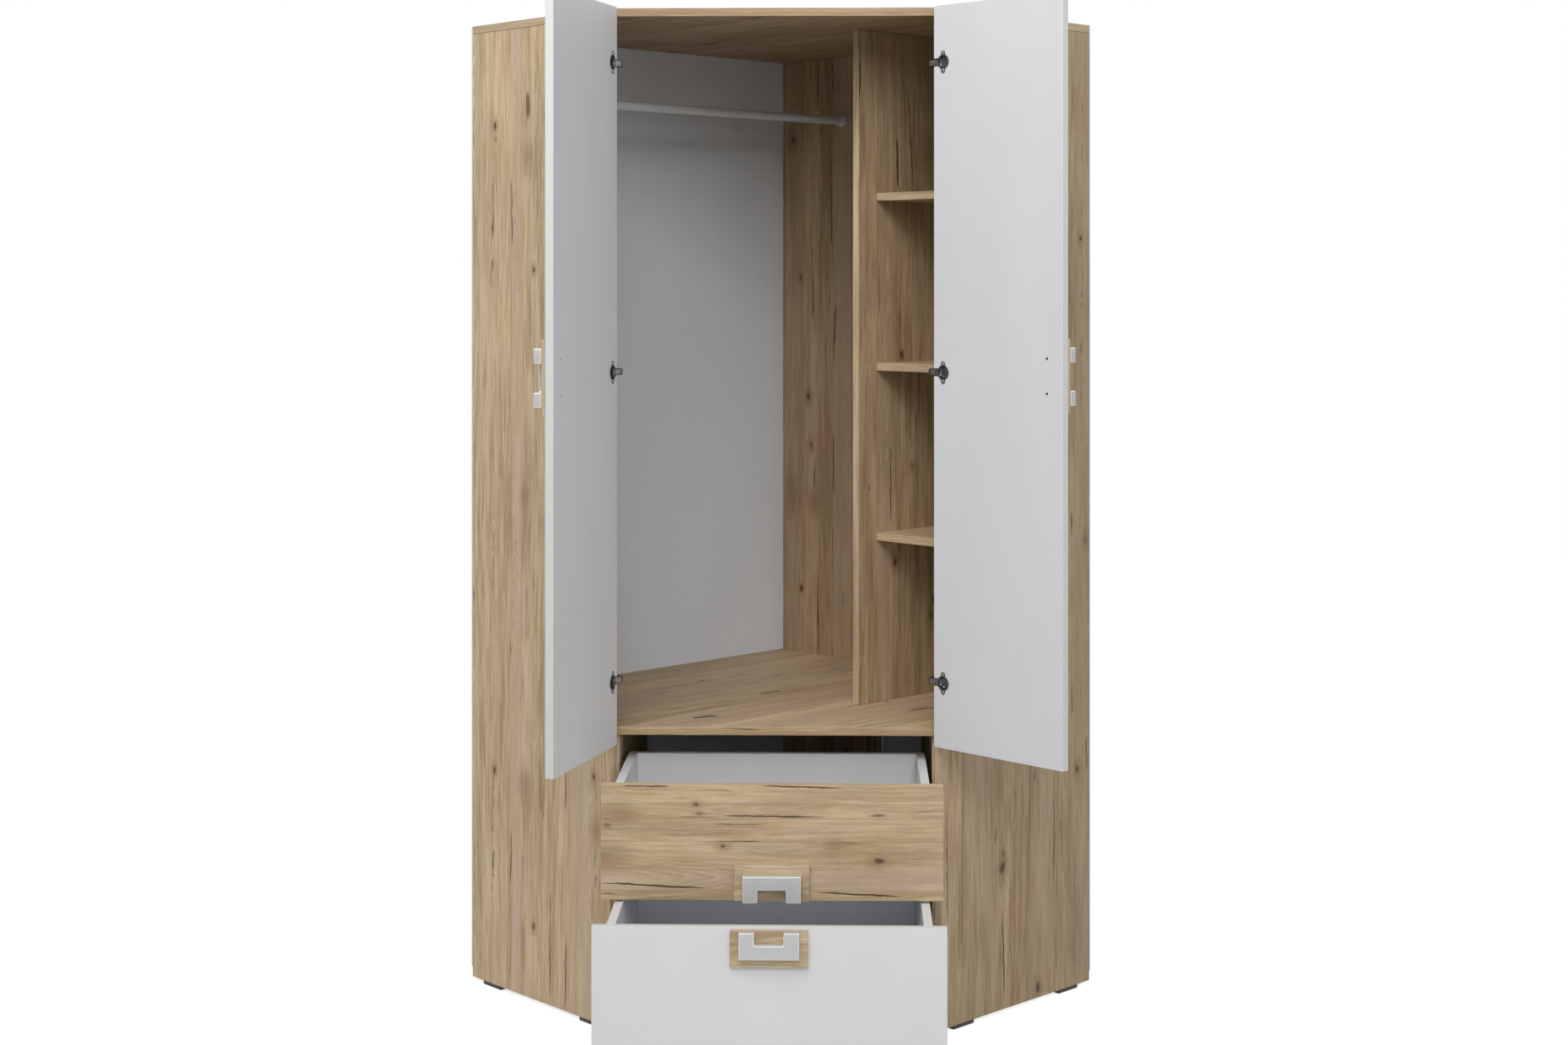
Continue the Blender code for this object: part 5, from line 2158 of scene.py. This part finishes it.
@dataclass
class Drawer:
    """One drawer: front, grooved box and handle."""

    row: str
    finish: Finish
    slot: Slot
    opens: Place
    board: float = 0.016
    groove: float = 0.008
    groove_height: float = 0.0148
    groove_stop: float = 0.025
    draw: float = 0.0

    def add(self) -> None:
        """Build the drawer."""
        body = self.row + "_drawer"
        front = Board(body + "_front", SQUARE, self.finish, self.slot, body)
        obj = front.build()
        HandleScrews(body, body, SQUARE, self.opens, self.board).cut_and_fill(obj)
        front.dress(obj)
        for word, side in (("left", -1.0), ("right", 1.0)):
            self.side(body, word, side)
        Board(body + "_back", SQUARE, WHITE, Slot.WHITE, body).add()
        Board(body + "_bottom", SQUARE, HARDBOARD, Slot.HARDBOARD, body, edge=0.0003).add()
        Handle(body, body, SQUARE, self.opens, draw=self.draw).add()

    def side(self, body: str, word: str, side: float) -> None:
        """A drawer side with the groove that its batten runs in.

        Args:
            body: The drawer.
            word: left or right.
            side: -1 for left and 1 for right.
        """
        node = f"{body}_{word}_side"
        panel = Board(node, SQUARE, WHITE, Slot.WHITE, body)
        obj = panel.build()
        low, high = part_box(node)
        batten_low, batten_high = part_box(f"{self.row}_{word}_batten")
        middle = (batten_low.z + batten_high.z) / 2
        half = self.groove_height / 2
        start, end = low.y - GAP + self.groove_stop, high.y + 0.02
        outline = round_corners(rectangle(start, -half, end, half), 0.0015)
        rings = slab_rings(outline, 0.03, 0.0002, 1)
        outer = high.x if side > 0 else low.x
        x = outer - side * self.groove
        turn = np.array([[0, 0, side], [1, 0, 0], [0, 1, 0]], float)
        place = Frame(np.array([x, 0.0, middle]), turn)
        cut(obj, Shape().loft(rings, place).build("groove_tool"))
        panel.dress(obj)


# ---------------------------------------------------------------- studio


@dataclass
class Studio:
    """Camera, lights, world and floor.

    The camera's sizes are in pixels of the photograph, and the sensor's in millimetres.
    """

    width: float = 1860.0
    focal: float = 2667.2
    centre: Pair = (948.9, 335.7)
    middle: Pair = (930.0, 620.0)
    place: Place = (0.1342, -4.5953, 1.4374)
    turn: float = 0.0202
    sensor: float = 36.0
    world_light: float = 0.45
    floor_reach: float = 14.0
    floor_tone: float = 0.52
    floor_lift: float = 0.77

    def add(self) -> None:
        """Set the scene up."""
        self.add_camera()
        self.add_world()
        self.add_floor()
        self.add_lamp("key", (-1.15, -2.50, 4.20), (0.0, -0.2, 1.1), 1.5, 78.0)
        self.add_lamp("front", (0.55, -4.60, 3.70), (0.0, -0.1, 1.0), 2.0, 82.0)
        self.add_lamp("fill", (3.60, -2.40, 1.90), (0.0, -0.1, 1.1), 2.4, 24.0)
        self.add_lamp("skirt", (0.20, -4.90, 1.25), (0.0, -0.3, 0.25), 0.9, 0.70, 32.0)
        bpy.context.scene.view_settings.view_transform = "Standard"

    def add_camera(self) -> None:
        """A level camera whose shift moves the picture's middle from its optical centre."""
        data = bpy.data.cameras.new("camera")
        data.sensor_width = self.sensor
        data.lens = self.sensor * self.focal / self.width
        data.shift_x = (self.middle[0] - self.centre[0]) / self.width
        data.shift_y = (self.centre[1] - self.middle[1]) / self.width
        camera = new_object("camera", data)
        camera.location = self.place
        camera.rotation_euler = (math.pi / 2, 0.0, self.turn)
        bpy.context.scene.camera = camera

    def add_world(self) -> None:
        """White to the camera and in reflections, and a plain soft light on the object."""
        world = bpy.data.worlds.new("studio")
        bpy.context.scene.world = world
        world.use_nodes = True
        nodes, links = world.node_tree.nodes, world.node_tree.links
        strength = nodes.new("ShaderNodeMapRange")
        strength.inputs["To Min"].default_value = self.world_light
        strength.inputs["To Max"].default_value = 1.0
        links.new(self.seen(world.node_tree), strength.inputs["Value"])
        background = nodes["Background"]
        background.inputs["Color"].default_value = (1.0, 1.0, 1.0, 1.0)
        links.new(strength.outputs[0], background.inputs["Strength"])

    @staticmethod
    def seen(tree: bpy.types.NodeTree) -> Socket:
        """Tell the rays that see the studio from those that light the object.

        Args:
            tree: The nodes to add to.

        Returns:
            1 for camera, glossy and transmission rays, and 0 for others.
        """
        rays = tree.nodes.new("ShaderNodeLightPath")
        found = rays.outputs["Is Camera Ray"]
        for name in ("Is Glossy Ray", "Is Transmission Ray"):
            either = tree.nodes.new("ShaderNodeMath")
            either.operation = "MAXIMUM"
            tree.links.new(found, either.inputs[0])
            tree.links.new(rays.outputs[name], either.inputs[1])
            found = either.outputs[0]
        return found

    def add_floor(self) -> None:
        """A pale floor, lifted to white where it is lit, that keeps the object's shadow."""
        points = turned_rings([(self.floor_reach, 0.0)], 64)[0]
        mesh = bpy.data.meshes.new("floor")
        mesh.from_pydata(points.tolist(), [], [list(range(64))])
        floor = new_object("floor", mesh)
        graph = Graph("studio_floor")
        look = graph.finish(
            base_color=(self.floor_tone,) * 3,
            roughness=0.9,
            specular_ior_level=0.0,
            emission_color=(1.0, 1.0, 1.0),
            emission_strength=graph.math("MULTIPLY", self.seen(graph.tree), self.floor_lift),
        )
        mesh.materials.append(look)

    def add_lamp(
        self,
        name: str,
        place: Place,
        target: Place,
        size: float,
        power: float,
        spread: float = 180.0,
    ) -> None:
        """A square soft lamp that looks at a target.

        Args:
            name: The lamp's name.
            place: Where it stands.
            target: What it looks at.
            size: Its side.
            power: Its power in watts.
            spread: How widely it fans out, in degrees.
        """
        data = bpy.data.lights.new(name, "AREA")
        data.size = size
        data.energy = power
        data.spread = math.radians(spread)
        lamp = new_object(name, data)
        lamp.location = place
        way = Vector(target) - Vector(place)
        lamp.rotation_euler = way.to_track_quat("-Z", "Y").to_euler()


DRAWER_OAK = Oak(
    "oak_drawer_front",
    (15.2, 6.6),
    knots=each(
        Knot,
        (0.099, 0.224, 0.0045), (0.073, 0.509, 0.0060), (0.175, 0.175, 0.0032),
        (0.158, 0.180, 0.0030, 0.5), (0.078, 0.006, 0.0120, 0.1), (0.155, 0.030, 0.0110, 0.05),
        (0.137, 0.012, 0.0040, 0.5), (0.100, 0.428, 0.0050, 0.1),
    ),
    cracks=each(
        Crack,
        (0.154, 0.215, 0.408, 0.0030, -0.001), (0.152, 0.141, 0.220, 0.0020, 0.0, 0.6),
        (0.139, 0.204, 0.297, 0.0018, 0.0, 0.8), (0.026, 0.000, 0.205, 0.0036, -0.005),
        (0.012, 0.389, 0.558, 0.0030, -0.004), (0.208, 0.040, 0.125, 0.0032),
        (0.201, 0.175, 0.245, 0.0020, -0.001, 0.6), (0.208, 0.290, 0.440, 0.0030, -0.002),
        (0.187, 0.130, 0.160, 0.0018, 0.0, 0.5),
    ),
    staves=each(
        Stave,
        (0.018, 0.52, 0.30, 0.2), (0.056, 0.62, 0.95, 0.6), (0.108, 0.44, 0.20, 0.8),
        (0.150, 0.50, 0.35, 0.4), (0.176, 0.54, 0.25, 0.7), (0.216, 0.56, 0.50, 0.3),
    ),
    strewn=2.0,
    depth=0.9,
    cast=(0.88, 0.87, 0.86),
)


def main() -> None:
    """Build the wardrobe and the studio."""
    logging.basicConfig(level=logging.INFO, format="%(name)s %(message)s")
    plan = Plan()
    Carcass(plan).add()
    Backs(plan).add()
    ShelfBay().add()
    DrawerBay().add()
    HangingRod().add()
    Glides().add()
    Door(-1.0, 105.5).add()
    Door(1.0, 136.0).add()
    Drawer("upper", DRAWER_OAK, Slot.OAK, (0.0, 0.0, -1.0)).add()
    Drawer("lower", WHITE, Slot.WHITE, (0.0, 0.0, 1.0), draw=0.0015).add()
    Studio().add()


if __name__ == "__main__":
    main()
